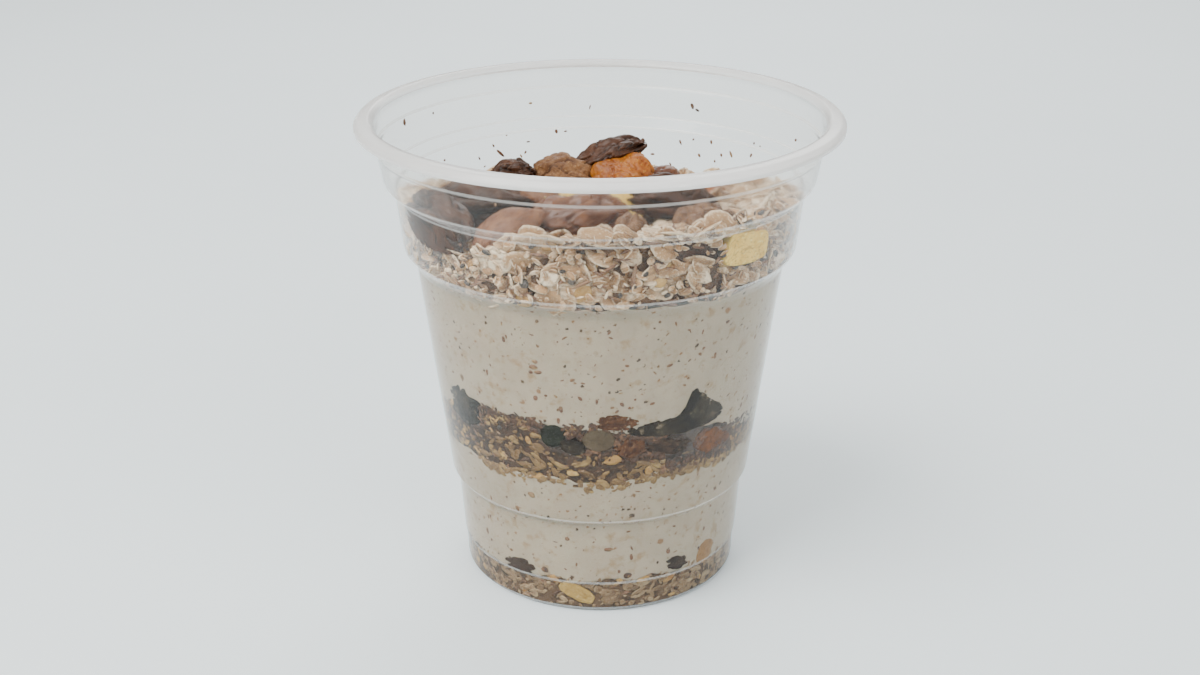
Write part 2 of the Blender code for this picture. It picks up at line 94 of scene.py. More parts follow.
# name: kind, look, centre, (length, width, height), (tilt about X, tilt about Y, turn about Z)
PILE = {
    "prune_back": ("wrinkled", "dark_fruit", (3, 15, 74.8), (19, 14, 7.6), (-8, -4, 20)),
    "date_back_left": ("wrinkled", "brown_fruit", (-17, 11, 75.8), (19, 13, 8), (-6, 2, 140)),
    "apricot_back": ("cupped", "amber_fruit", (18, 8, 76.6), (17, 15, 6.6), (-8, -4, 30)),
    "date_left": ("wrinkled", "dark_fruit", (-22, -12, 81), (20, 12, 10), (-6, -6, -14)),
    "prune_left": ("wrinkled", "dark_fruit", (-29.5, -22, 80.2), (17, 10.5, 11), (-8, 14, -52)),
    "date_front": ("wrinkled", "brown_fruit", (-4.5, -19.5, 79.8), (21, 11, 9.5), (6, -4, 4)),
    "prune_right": ("wrinkled", "dark_fruit", (13.5, -13, 82), (16.5, 11, 8), (-4, 6, 12)),
    "walnut_right": ("lobed", "nut", (18.5, -24.5, 80.6), (12.5, 9.5, 8), (8, -8, 24)),
    "almond_front": ("almond", "nut", (-16.5, -26.5, 80.2), (14.5, 8.5, 6), (34, -24, 10)),
    "walnut_front": ("lobed", "nut", (5.5, -26.5, 79.6), (8, 6, 7.6), (0, 10, 70)),
    "almond_middle": ("almond", "nut", (-12, -13, 83), (10, 7, 5), (10, -10, 150)),
    "banana_chip_left": ("chip", "yellow_fruit", (-5.5, -12, 80.6), (8.5, 8, 2.6), (42, -10, 20)),
    "banana_chip_front": ("chip", "yellow_fruit", (2.2, -15.5, 80.2), (11.5, 10, 3), (58, 4, 4)),
    "raisin_left": ("wrinkled", "dark_fruit", (-17.3, 0, 83.0), (9, 6.5, 5.2), (0, -12, -20)),
    "raisin_right": ("wrinkled", "brown_fruit", (12.6, 0.5, 81.9), (8, 6, 4.6), (0, 10, 40)),
    "date_middle": ("wrinkled", "brown_fruit", (-6.8, 0, 82.3), (13.5, 10, 8), (6, 4, -10)),
    "apricot_crest": ("cupped", "amber_fruit", (4.4, -3.4, 83.7), (12, 9.5, 8), (24, -8, -8)),
    "date_crest": ("wrinkled", "dark_fruit", (1.4, 2.2, 86.0), (14.5, 8.5, 5.6), (0, -20, 2)),
}

# name: kind, look, (angle from the front, height), (width, height, depth), lean
AT_WALL = {
    "prune_middle_left": ("wrinkled", "dark_fruit", (-52.5, 42.0), (12.0, 9.0, 6.0), 14),
    "prune_middle_right": ("fin", "dark_fruit", (27.0, 42.5), (23.5, 8.0, 6.0), 0),
    "pumpkin_seed_middle": ("almond", "green_seed", (-15.5, 41.4), (6.6, 5.4, 3.6), 60),
    "raisin_middle": ("wrinkled", "dark_fruit", (-9.0, 39.0), (5.8, 4.4, 4.2), -14),
    "hazelnut_middle": ("kernel", "nut", (-0.4, 40.6), (6.8, 5.4, 5.0), 0),
    "fig_middle": ("wrinkled", "brown_fruit", (5.3, 44.3), (9.8, 4.2, 4.0), -2),
    "date_low_left": ("wrinkled", "brown_fruit", (10.4, 38.6), (6.8, 4.6, 4.6), 18),
    "date_low_right": ("wrinkled", "brown_fruit", (23.5, 38.0), (10.6, 4.0, 4.6), -6),
    "apricot_middle": ("cupped", "amber_fruit", (43.0, 36.4), (9.4, 6.0, 4.6), -10),
    "raisin_base_right": ("wrinkled", "dark_fruit", (32.5, 9.4), (6.2, 4.0, 4.0), -14),
    "apricot_base": ("slab", "amber_fruit", (47.5, 9.0), (4.4, 5.4, 3.6), -20),
    "date_base_left": ("wrinkled", "dark_fruit", (-34.0, 8.4), (9.4, 4.0, 4.2), 6),
    "mango_base": ("slab", "yellow_fruit", (-9.5, 4.5), (7.4, 3.4, 3.4), -28),
    "mango_top": ("slab", "yellow_fruit", (43.0, 77.6), (11.5, 6.6, 4.0), -6),
    "prune_top": ("wrinkled", "dark_fruit", (27.0, 78.4), (13.0, 6.6, 5.0), -12),
}


# Meshes


def mesh_object(name, points, triangles, materials, marks=None, slots=None):
    """An object of triangles, with named values on its points and a material slot for each face."""
    mesh = bpy.data.meshes.new(name)
    mesh.vertices.add(len(points))
    mesh.vertices.foreach_set("co", (points * MM).astype(np.float32).ravel())
    mesh.loops.add(3 * len(triangles))
    mesh.loops.foreach_set("vertex_index", triangles.astype(np.int32).ravel())
    mesh.polygons.add(len(triangles))
    mesh.polygons.foreach_set("loop_start", np.arange(0, 3 * len(triangles), 3, dtype=np.int32))
    mesh.update(calc_edges=True)
    mesh.polygons.foreach_set("use_smooth", np.ones(len(triangles), dtype=bool))
    for look in materials:
        mesh.materials.append(look)
    if slots is not None:
        mesh.polygons.foreach_set("material_index", slots.astype(np.int32))
    for key, values in (marks or {}).items():
        values = values.astype(np.float32).ravel()
        mesh.attributes.new(key, "FLOAT", "POINT").data.foreach_set("value", values)
    made = bpy.data.objects.new(name, mesh)
    bpy.context.scene.collection.objects.link(made)
    return made


def dresses(made, slot_name, *nodes):
    """Says that a piece rides the part's one body, and hides the nodes that it replaces. slot_name is not
    used.
    """
    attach(made, "root")
    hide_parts(*nodes)


def round_axis(radius, angle, height):
    """Points at a distance from the cup's axis, at an angle from the front and at a height."""
    return np.stack([radius * np.sin(angle), -radius * np.cos(angle), height + 0 * angle], -1)


def outward_of(angle):
    """The way out from the axis at an angle from the front."""
    return round_axis(1, angle, 0)


def globe_faces(rows, steps):
    """Triangles of a closed skin: a first pole, rows rings of steps points each, and a last pole."""
    here = np.arange(steps)
    there = (here + 1) % steps
    first = np.stack([0 * here, 1 + here, 1 + there], 1)
    ring = 1 + steps * np.arange(rows - 1)[:, None]
    a, b, c, d = ring + here, ring + there, ring + steps + there, ring + steps + here
    sides = [np.stack(corner, -1).reshape(-1, 3) for corner in ((a, d, c), (a, c, b))]
    end = 1 + steps * (rows - 1)
    last = np.stack([np.full(steps, end + steps), end + there, end + here], 1)
    return np.concatenate([first, *sides, last])


def globe_points(rows, steps, along="z"):
    """Points of a unit ball in rings between two poles, which lie on Z or on X."""
    down = np.pi * np.arange(1, rows + 1) / (rows + 1)
    angle = TURN * np.arange(steps) / steps
    wide = np.sin(down)[:, None]
    rings = np.stack([wide * np.cos(angle), wide * np.sin(angle), np.cos(down)[:, None] + 0 * angle], -1)
    ball = np.concatenate([[[0, 0, 1]], rings.reshape(-1, 3), [[0, 0, -1]]])
    return ball if along == "z" else ball[:, [2, 0, 1]]


def waves(points, size, seed, octaves=2, crossing=5):
    """An uneven field of about -1 to 1: sine waves of one size in seeded directions, summed, then the same
    again 1.9 times finer and half as strong for each further octave, bent by the octave before it."""
    draw = np.random.default_rng(seed)
    total, bend = 0.0, 0.0
    for octave in range(octaves):
        part = 0.0
        for _ in range(crossing):
            way = draw.normal(size=3)
            way *= TURN / size * 1.9**octave / np.linalg.norm(way)
            part = part + np.sin(points @ way + draw.uniform(0, TURN) + bend)
        bend = 1.2 * part / crossing
        total = total + part * 0.5**octave
    return total / crossing


def creases(points, size, seed, width=0.09):
    """A net of thin lines, 1 on each line and 0 between them: where the uneven field passes through 0."""
    return np.exp(-((waves(points, size, seed) / width) ** 2))


# The cup


def rounded(profile, radius, cuts=3):
    """The profile with each corner cut by a short curve: a quadratic arc from a little before the corner to
    a little after it."""
    line = np.array(profile, dtype=float)
    out = [line[0]]
    for before, corner, after in zip(line[:-2], line[1:-1], line[2:]):
        back, on = before - corner, after - corner
        reach = min(radius, 0.42 * np.linalg.norm(back), 0.42 * np.linalg.norm(on))
        start, stop = corner + back / np.linalg.norm(back) * reach, corner + on / np.linalg.norm(on) * reach
        for t in np.linspace(0, 1, cuts + 1):
            out.append((1 - t) ** 2 * start + 2 * t * (1 - t) * corner + t**2 * stop)
    return np.array(out + [line[-1]])


def cup_profile():
    """The wall's outside line and the inside a wall's thickness within it, with the lip between them."""
    inner = [(0.0, FLOOR_TOP), (FOOT_RING_INSIDE - WALL, FLOOR_TOP)]
    inner += [(OUTSIDE[0][0] - WALL, WALL), (OUTSIDE[1][0] - WALL, OUTSIDE[1][1] + WALL / 2)]
    inner += [(radius - WALL, height) for radius, height in OUTSIDE[2:-1]]
    lip_inside, skirt_inside = OUTSIDE[-1][0] - WALL, RIM_RADIUS - WALL
    crown = [(lip_inside, RIM_TOP - 1.0), (lip_inside + 1.0, RIM_TOP), (RIM_RADIUS - 0.9, RIM_TOP - 0.3)]
    crown += [(RIM_RADIUS, RIM_TOP - 1.2), (RIM_RADIUS, SKIRT_BOTTOM), (skirt_inside, SKIRT_BOTTOM)]
    crown += [(skirt_inside, RIM_TOP - 1.6), (OUTSIDE[-1][0] + 0.6, RIM_TOP - WALL - 0.3)]
    foot = [(FOOT_RING_INSIDE, 0.0), (FOOT_RING_INSIDE - WALL, FLOOR_RAISE), (0.0, FLOOR_RAISE)]
    return rounded(inner + crown + list(reversed(OUTSIDE)) + foot, CORNER_RADIUS)


def inside_radius(height):
    """The inside of the wall at a height."""
    heights = [FLOOR_TOP] + [z for _, z in OUTSIDE[2:]]
    return np.interp(height, heights, [r - WALL for r, _ in OUTSIDE[1:]])


def make_cup(materials):
    """The profile turned about Z. Its lip, above LIP_HEIGHT, is of milkier plastic, a painted reflection and
    shade, and its corners, at RINGS, are of milkier plastic, a painted highlight."""
    profile = cup_profile()
    angle = TURN * np.arange(CUP_STEPS) / CUP_STEPS
    ring = profile[1:-1]
    rings = round_axis(ring[:, :1], angle, ring[:, 1:]).reshape(-1, 3)
    points = np.concatenate([[[0, 0, profile[0, 1]]], rings, [[0, 0, profile[-1, 1]]]])
    faces = globe_faces(len(ring), CUP_STEPS)
    heights, reach = points[faces][..., 2], np.hypot(*points[faces][..., :2].T)
    # The lip's faces take the milky plastic, a painted reflection and shade
    lip = heights.min(1) > LIP_HEIGHT
    lip |= (heights.min(1) > SKIRT_BOTTOM - 0.6) & (reach.min(0) > RIM_RADIUS - 1)
    slots = lip.astype(int)
    outside = reach.max(0) > np.interp(heights.mean(1), *np.array(OUTSIDE)[:, ::-1].T) - 0.2
    # Faces at the corners take the milkier plastic, a painted highlight
    for height in RINGS:
        slots[outside & ~lip & (np.abs(heights - height).max(1) < RING_HIGHLIGHT_REACH)] = 2
    made = mesh_object("cup_wall_and_lip", points, faces, materials, slots=slots)
    dresses(made, "clear_plastic", "cup")


# Where the layers lie


def ripple(x, y, phase, pitch):
    """A smooth uneven field of about -1 to 1: three crossed waves, pitch apart."""
    turn = TURN / pitch
    first = np.sin(turn * (x + 0.4 * y) + phase)
    second = np.sin(turn * (0.8 * y - 0.5 * x) * 1.27 + 2.1 * phase)
    third = np.sin(turn * (0.7 * x + 0.9 * y) * 0.53 + 3.7 * phase)
    return (first + second + third) / 3


def base_top(x, y):
    return BASE_TOP + LAYER_WAVE * ripple(x, y, 0.6, 14)


def middle_bottom(x, y):
    return MIDDLE_BOTTOM + 1.2 * LAYER_WAVE * ripple(x, y, 1.9, 13)


def middle_top(x, y):
    """Higher at the left than at the right, and sunk at both sides of the cup."""
    sides = -9.0 * np.minimum(np.abs(x) / FIELD_RADIUS, 0.92) ** 6
    return MIDDLE_TOP - 0.07 * x + sides + 1.5 * LAYER_WAVE * ripple(x, y, 2.7, 15)


def top_bottom(x, y):
    return TOP_BOTTOM + 0.25 * LAYER_WAVE * ripple(x, y, 0.2, 16)


def top_top(x, y):
    """Pushed down under the fruit and up at the wall, with a dip at the left, sloping to the back."""
    share = np.minimum(1.0, np.hypot(x, y) / FIELD_RADIUS)
    left = np.exp(-(((x + 28) ** 2 + (y + 26) ** 2) / 13**2))
    height = TOP_CROWN + (TOP_RIM - TOP_CROWN) * share**4 - 7.0 * left + 0.03 * x * share
    slope = TOP_MIDDLE - TOP_SLOPE * y
    height = slope - BLEND * np.log1p(np.exp((slope - height) / BLEND))
    return height + LAYER_WAVE * ripple(x, y, 1.3, 12) * np.minimum(1.0, (height - TOP_BOTTOM) / 4)


def floor_top(x, y):
    """The inside of the cup's floor, which sinks towards the foot ring."""
    return np.interp(np.hypot(x, y), [0, 28.0, FIELD_RADIUS], [FLOOR_TOP, FLOOR_TOP, 0.55]) - 0.05


def at(field, angle, share=1.0):
    """A height field read at an angle from the front and a share of the way out to the wall."""
    reach = share * FIELD_RADIUS
    return field(reach * np.sin(angle), -reach * np.cos(angle))


def slug(low, high, into, steps, rings, rows):
    """A closed body of food between two height fields: its top from the centre out, its side down the wall
    and its bottom back to the centre. It reaches into the wall by into, or stays inside where that is below
    0."""
    angle = TURN * np.arange(steps) / steps
    shares = np.arange(1, rings + 1) / rings
    top = np.stack([at(high, angle, share) for share in shares])
    bottom = np.stack([at(low, angle, share) for share in shares[::-1]])
    down = (np.arange(1, rows) / rows)[:, None]
    height = np.concatenate([top, top[-1] * (1 - down) + bottom[0] * down, bottom])
    share = np.concatenate([shares, np.ones(rows - 1), shares[::-1]])[:, None]
    radius = share * (inside_radius(height) + into)
    skin = round_axis(radius, angle, height).reshape(-1, 3)
    first, last = ([[0, 0, float(at(field, 0.0, 0.0))]] for field in (high, low))
    return np.concatenate([first, skin, last]), globe_faces(len(height), steps)


def held_by_wall(points, into):
    """Points brought back to the wall, so that what lies against it is pressed flat there."""
    out = np.hypot(points[..., 0], points[..., 1])
    most = inside_radius(points[..., 2]) + into
    scale = np.minimum(1.0, most / np.maximum(out, 1e-6))
    held = points * np.stack([scale, scale, np.ones_like(scale)], -1)
    held[..., 2] = np.maximum(held[..., 2], floor_top(held[..., 0], held[..., 1]))
    return held


# Fruit, nuts and seeds


def wrinkled(p, n):
    around = np.arctan2(p[:, 2], p[:, 1])
    fold = 0.085 * np.sin(5 * around + 2.3 * p[:, 0] + n) + 0.05 * np.sin(9 * around - 3 * p[:, 0])
    out = p * (1 + fold)[:, None]
    out[:, 2] -= 0.16 * p[:, 0] ** 2
    return out


def fin(p, n):
    left = 1 / (1 + np.exp((0.09 - p[:, 0]) / 0.05))
    right = 1 - 1.2 * np.maximum(0.0, p[:, 0] - 0.22)
    peak = 0.5 + (FIN_PEAK - 0.5) * left * right
    return p * np.stack([1 + 0 * peak, np.where(p[:, 1] < 0, 0.6, peak), 1 + 0 * peak], -1)


def kernel(p, n):
    return p.copy()


def lobed(p, n):
    groove = 1 - 0.24 * np.exp(-((p[:, 1] / 0.22) ** 2))
    knob = 1 + 0.10 * np.sin(6 * p[:, 0] + n) * np.sin(5 * p[:, 1] + 1 + n)
    return p * (groove * knob)[:, None]


def cupped(p, n):
    across = p[:, 0] ** 2 + p[:, 1] ** 2
    out = p.copy()
    out[:, 2] += 0.25 * np.sin(3 * np.arctan2(p[:, 1], p[:, 0]) + n) * across
    out[:, 2] -= 0.35 * (1 - across) * np.clip(p[:, 2] * 4, 0, 1)
    return out


def almond(p, n):
    narrow = 1 - 0.42 * np.maximum(0.0, p[:, 0]) ** 1.5
    return p * np.stack([1 + 0 * narrow, narrow, narrow], -1)


def chip(p, n):
    edge = np.hypot(p[:, 0], p[:, 1])
    wide = np.minimum(1.25, 1 / np.maximum(edge, 0.8))
    flat = np.clip(p[:, 2] * 2.2, -1, 1) + 0.30 * edge**2 + 0.08 * np.sin(4 * p[:, 0] + n)
    return np.stack([p[:, 0] * wide, p[:, 1] * wide, flat], -1)


def slab(p, n):
    bump = 1 + 0.05 * np.sin(3 * p[:, 0] + 4 * p[:, 1] + n)
    return np.sign(p) * np.abs(p) ** 0.55 * bump[:, None]


KINDS = {f.__name__: f for f in (wrinkled, fin, kernel, lobed, cupped, almond, chip, slab)}

# For each kind: how its folds are stretched along X; size and depth of its lumps, of its folds and of its
# fine folds
RELIEF = {
    "wrinkled": (0.45, (7.0, 0.55), (5.2, 0.95), (1.9, 0.30)),
    "fin": (0.8, (4.2, 0.60), (4.0, 0.60), (1.3, 0.25)),
    "kernel": (1.0, (4.0, 0.16), (3.0, 0.05), (1.2, 0.06)),
    "lobed": (0.9, (5.0, 0.35), (4.4, 0.80), (1.8, 0.25)),
    "cupped": (0.9, (4.5, 0.45), (4.2, 0.60), (1.7, 0.22)),
    "almond": (0.18, (8.0, 0.15), (2.2, 0.22), (1.0, 0.10)),
    "chip": (1.0, (4.0, 0.14), (3.2, 0.12), (1.1, 0.10)),
    "slab": (0.9, (4.5, 0.25), (3.6, 0.22), (1.5, 0.10)),
}
LONG_KINDS = ("wrinkled", "fin", "almond")


def morsel_shape(kind, n, size):
    """A piece about its own centre and how deep each point lies in a fold. The kind's form is that of the
    part. Lumps raise it and two nets of creases cut into it along the line from its centre."""
    small = max(size) < 9
    rows, steps = (34, 48) if small else (64, 88)
    ball = globe_points(rows, steps, "x" if kind in LONG_KINDS else "z")
    half = np.array(size) / 2
    points = KINDS[kind](ball, n) * half
    stretch, lumps, folds, fine = RELIEF[kind]
    scale = np.clip(min(size) / 9, 0.4, 1.15)
    where = points * [stretch, 1, 1] / scale
    fold, thin = creases(where, folds[0], 10 * n + 1), creases(where, fine[0], 10 * n + 2, 0.14)
    rise = lumps[1] * waves(points / scale, lumps[0], 10 * n + 3) - folds[1] * fold - fine[1] * thin
    out = ball / half
    out /= np.linalg.norm(out, axis=1)[:, None]
    return points + out * (rise * scale)[:, None], np.maximum(fold, 0.6 * thin), globe_faces(rows, steps)


def wrapped(points, angle, height, depth, lean):
    """Points of a piece laid along the wall: X goes round it, Y up it and Z outwards."""
    around, tip = np.radians(angle), np.radians(lean)
    x = points[:, 0] * np.cos(tip) - points[:, 1] * np.sin(tip)
    z = height + points[:, 0] * np.sin(tip) + points[:, 1] * np.cos(tip)
    radius = inside_radius(z) - GAP - WALL_SHARE * depth + points[:, 2]
    return round_axis(radius, around + x / (inside_radius(height) - GAP), z)


def make_fruit(looks):
    """Every piece of fruit, nut and seed of the part, each with its folds, in the part's place."""
    for n, (name, (kind, look, place, size, turn)) in enumerate((AT_WALL | PILE).items()):
        points, fold, faces = morsel_shape(kind, n, size)
        if name in AT_WALL:
            points = wrapped(points, *place, size[2], turn)
        else:
            points = points @ np.array(Euler(np.radians(turn)).to_matrix()).T + place
        points = held_by_wall(points, SUNK.get(name, FRUIT_INTO))
        own = looks[look_of(name, look)]
        # The fold mark says how deep each point lies in a fold; the material paints shade there
        dresses(mesh_object(name + "_dressed", points, faces, [own], {"fold": fold}), look, name)


# Fruit that flakes lie over: how far it reaches into the wall, here less than nothing
SUNK = {"prune_top": -1.3}

# Pieces of fruit whose look isn't the common one of their slot
OWN_LOOK = {
    "soaked_prune": ("prune_middle_left", "prune_middle_right", "raisin_middle"),
    "soaked_date": ("fig_middle", "date_low_left"),
    "soaked_sugar": ("date_low_right",),
    "soaked_nut": ("hazelnut_middle",),
    "soaked_amber": ("apricot_middle",),
    "soaked_tan": ("apricot_base",),
    "soaked_mango": ("mango_base",),
    "soaked_raisin": ("raisin_base_right", "date_base_left"),
    "walnut": ("walnut_right", "walnut_front"),
    "crumbly_date": ("date_middle",),
}


def look_of(name, look):
    """The look of a piece: its own one, or else its slot's."""
    return next((own for own, pieces in OWN_LOOK.items() if name in pieces), look)


# Muesli


def frames_about(normals, draw, level=0.0):
    """For each normal a frame that has it as its Z, spun at random, or nearer to the level the higher level
    is, so that long flakes lie on their sides as they settle."""
    normals = normals / np.linalg.norm(normals, axis=1)[:, None]
    first = np.cross(normals, draw.normal(size=normals.shape) + [0, 0, level])
    first /= np.linalg.norm(first, axis=1)[:, None]
    return np.stack([first, np.cross(normals, first), normals], -1)


def flakes(centres, frames, sizes, rows, steps, draw, bend=0.22, crease=0.0):
    """Many thin lenses at once, each with its own outline, bend, twist and crease. The outline goes in and
    out with two, three and five waves round it; the bend is a saddle of random strength; the crease is a
    groove along the length."""
    ball = globe_points(rows, steps)
    count = len(centres)
    angle = np.arctan2(ball[:, 1], ball[:, 0])
    edge = np.hypot(ball[:, 0], ball[:, 1])
    outline = 1.0
    for lobes, depth in ((2, 0.10), (3, 0.09), (5, 0.06)):
        phase = draw.uniform(0, TURN, (count, 1))
        outline = outline + draw.uniform(0.2, 1, (count, 1)) * depth * np.sin(lobes * angle + phase)
    x, y = ball[:, 0] * outline, ball[:, 1] * outline
    long, across, twist = draw.normal(0, bend, (3, count, 1)) * [[[1.0]], [[0.7]], [[0.8]]]
    length = sizes[:, :1] / sizes[:, 2:]
    lift = (long * x**2 + across * y**2 + twist * x * y) * 0.22 * length
    groove = crease * np.exp(-((y / 0.16) ** 2)) * (ball[:, 2] > 0.05)
    z = ball[:, 2] * (0.75 + 0.25 * edge) + lift - groove
    local = np.stack([x, y, z], -1) * sizes[:, None, :] / 2
    points = np.einsum("nij,ntj->nti", frames, local) + centres[:, None, :]
    faces = globe_faces(rows, steps)[None] + (np.arange(count) * len(ball))[:, None, None]
    rim = np.broadcast_to(edge**3, (count, len(ball)))
    return points, faces.reshape(-1, 3), rim, np.broadcast_to(ball[:, 1], (count, len(ball)))


def against_wall(points, into):
    """Each flake is moved in until little of it crosses the wall, and the rest is pressed flat."""
    out = np.hypot(points[..., 0], points[..., 1])
    over = np.maximum(0, (out - inside_radius(points[..., 2]) - into).max(1))
    middle = points.mean(1)
    way = middle[:, :2] / np.maximum(np.hypot(middle[:, 0], middle[:, 1]), 1e-6)[:, None]
    points[..., :2] -= (0.8 * over[:, None] * way)[:, None, :]
    return held_by_wall(points, into)


# Fruit at the wall that flakes partly cover: the share of it that they leave clear
HALF_HIDDEN = {"prune_top": 0.1, "mango_top": 0.9, "apricot_base": 0.6, "prune_middle_left": 0.9}


def clear_of_fruit(angle, height, margin):
    """True where nothing of the fruit at the wall lies, so that no flake hides it."""
    free = np.ones(len(angle), dtype=bool)
    for name, (kind, _, (around, level), size, lean) in AT_WALL.items():
        size = [side * HALF_HIDDEN.get(name, 1.0) for side in size]
        tip = np.radians(lean)
        across = (angle - np.radians(around) + np.pi) % TURN - np.pi
        x, y = across * inside_radius(level), height - level
        x, y = x * np.cos(tip) + y * np.sin(tip), y * np.cos(tip) - x * np.sin(tip)
        tall = size[1] / 2
        if kind == "fin":
            tall = tall * np.where(np.abs(x / size[0] - 0.1) < 0.22, FIN_PEAK, 0.6)
        free &= (x / (size[0] / 2 + margin)) ** 2 + (y / (tall + margin)) ** 2 > 1
    return free


def piece_of(name, parts, tones, look, node, slot_name="muesli", into=FLAKE_INTO):
    """One piece of many flakes, held by the wall."""
    points, faces, rim, across = parts
    points = against_wall(points, into)
    marks = {"rim": rim, "across": across, "tone": np.broadcast_to(tones[:, None], rim.shape)}
    dresses(mesh_object(name, points.reshape(-1, 3), faces, [look], marks), slot_name, node)


def sizes_between(size, count, draw):
    """Sizes from the smaller of two to the larger, most of them small."""
    low, high = np.array(size)
    return low + (high - low) * draw.uniform(0, 1, (count, 1)) ** 1.5


def wall_scatter(count, fields, size, depth, tip, draw, rows, steps, margin=1.0, spill=0.0, **shape):
    """Flakes that lie along the wall between two height fields, tipped at random. Depth says how far in from
    the wall they lie, and spill how far past the fields, as a share of the way between them."""
    angle = TURN * ((np.arange(count) * 0.618034 + draw.uniform(-0.3, 0.3, count) / np.sqrt(count)) % 1.0)
    share = draw.uniform(-spill, 1 + spill, count)
    height = at(fields[0], angle) * (1 - share) + at(fields[1], angle) * share
    centres = round_axis(inside_radius(height) - draw.uniform(*depth, count), angle, height)
    keep = clear_of_fruit(angle, height, margin)
    angle, centres = angle[keep], centres[keep]
    frames = frames_about(outward_of(angle) + draw.normal(0, tip, centres.shape), draw, 2.2)
    sizes = sizes_between(size, len(centres), draw)
    sizes = sizes * draw.uniform(0.85, 1.2, sizes.shape)
    return flakes(centres, frames, sizes, rows, steps, draw, **shape), draw.uniform(0, 1, len(centres))


def top_scatter(count, rise, tip, size, draw, rows, steps, reach=0.97, **shape):
    """Flakes that lie on the top of the muesli, tipped at random."""
    share = reach * np.sqrt((np.arange(count) + 0.5) / count)
    angle = np.arange(count) * np.pi * (3 - np.sqrt(5))
    height = at(top_top, angle, share) + draw.uniform(*rise, count)
    centres = round_axis(share * inside_radius(height), angle, height)
    upward = np.array([0, 0, 1.0]) + draw.normal(0, tip, centres.shape)
    sizes = sizes_between(size, count, draw)
    made = flakes(centres, frames_about(upward, draw), sizes, rows, steps, draw, **shape)
    return made, draw.uniform(0, 1, count)


def joined(first, second):
    """Two scatters as one."""
    (points_a, faces_a, *marks_a), tones_a = first
    (points_b, faces_b, *marks_b), tones_b = second
    faces = np.concatenate([faces_a, faces_b + points_a.shape[0] * points_a.shape[1]])
    marks = [np.concatenate(pair) for pair in zip(marks_a, marks_b)]
    return (np.concatenate([points_a, points_b]), faces, *marks), np.concatenate([tones_a, tones_b])


# Two sizes of each kind of flake, the smaller first: length, width, thickness
OAT = ((3.6, 2.2, 0.6), (8.6, 5.6, 1.0))
SMALL_OAT = ((2.4, 1.6, 0.5), (5.4, 3.6, 0.8))
BIT = ((0.9, 0.7, 0.35), (3.0, 1.9, 0.7))
HUSK = ((1.6, 0.35, 0.2), (4.6, 0.9, 0.35))
SEED = ((1.2, 0.8, 0.7), (2.2, 1.4, 1.1))

# A core's points behind fruit at the wall are drawn in to this share of their radius
BEHIND_FRUIT = 0.97


def make_core(name, low, high, into, bumps, look, node):
    """What shows between the flakes: a bumpy body of muesli, painted dark as the shade in the gaps between
    flakes. Wet muesli has no air at the wall, so its body reaches into it, except behind the fruit that shows
    there."""
    points, faces = slug(low, high, into, 192, 20, 20)
    out = points / [1.0, 1.0, 4.0]
    rise = bumps * waves(points, 3.1, 5, 3)
    points = points + out / np.linalg.norm(out, axis=1)[:, None] * rise[:, None]
    points = held_by_wall(points, max(into, -0.4))
    covered = ~clear_of_fruit(np.arctan2(points[:, 0], -points[:, 1]), points[:, 2], -0.2)
    points[covered, :2] *= BEHIND_FRUIT
    dresses(mesh_object(name, points, faces, [look]), "muesli", node)


def raised(field, by):
    """A height field moved up, or down where by is below 0."""
    return lambda x, y: field(x, y) + by


# For each layer of muesli: its state; its core's two fields, reach into the wall and bumps; the two fields
# between which its flakes lie; how far in from the wall they lie; how far they are tipped; the size of its
# oats; and how many oats, bits, husks, seeds and corn flakes lie along the wall
MUESLI = {
    # The base's flakes are darker, partly as damp flakes and partly as painted shade at the bottom of the cup
    "base": (
        "damp_shaded", (floor_top, raised(base_top, -0.5), CORE_INTO, 0.08),
        (raised(floor_top, 0.9), raised(base_top, -0.4)), (-0.2, 0.4), 0.2, SMALL_OAT,
        (380, 700, 240, 40, 36),
    ),
    "middle": (
        "wet", (raised(middle_bottom, 0.4), raised(middle_top, -0.6), CORE_INTO, 0.08),
        (raised(middle_bottom, 0.5), raised(middle_top, -1.2)), (-0.2, 0.4), 0.2, SMALL_OAT,
        (420, 900, 420, 90, 90),
    ),
    "top": (
        "dry", (top_bottom, raised(top_top, -1.2), -1.8, 0.55),
        (raised(top_bottom, 0.6), raised(top_top, -0.4)), (0.6, 3.0), 0.42, OAT, (470, 1100, 420, 70, 46),
    ),
}


# What lies all over the top layer too: how many, how far under and over its surface, how far tipped
ON_TOP = {
    "oats": (640, (-0.9, 1.0), 0.45),
    "oat_bits": (900, (-0.2, 1.4), 0.6),
    "husks": (260, (0.2, 1.6), 0.35),
    "seeds": (40, (0.2, 1.2), 0.5),
}


def kinds_of_flake(state, oat, depth, tip):
    """For each kind: name, look, size, depth in from the wall, tip, rows and steps, margin round fruit,
    spill, shape, reach into the wall."""
    far = depth[1]
    return [
        ("oats", "oat_" + state, oat, depth, tip, (5, 14), 0.4 + far / 3, 0, {"crease": 0.5}, FLAKE_INTO),
        ("oat_bits", "bit_" + state, BIT, (-0.1, far / 2), 2 * tip, (3, 8), 0.5, 0.06, {}, FLAKE_INTO),
        ("husks", "husk", HUSK, (-0.1, far / 3), 0.3, (3, 6), 0.4, 0.03, {}, FLAKE_INTO),
        ("seeds", "seed", SEED, (0.1, 1.0), 0.5, (5, 10), 0.6, 0, {}, SEED_INTO),
        ("corn_flakes", "corn", SMALL_OAT, (-0.2, far), 0.2, (5, 12), 0.6, 0, {"bend": 0.5}, CORN_INTO),
    ]


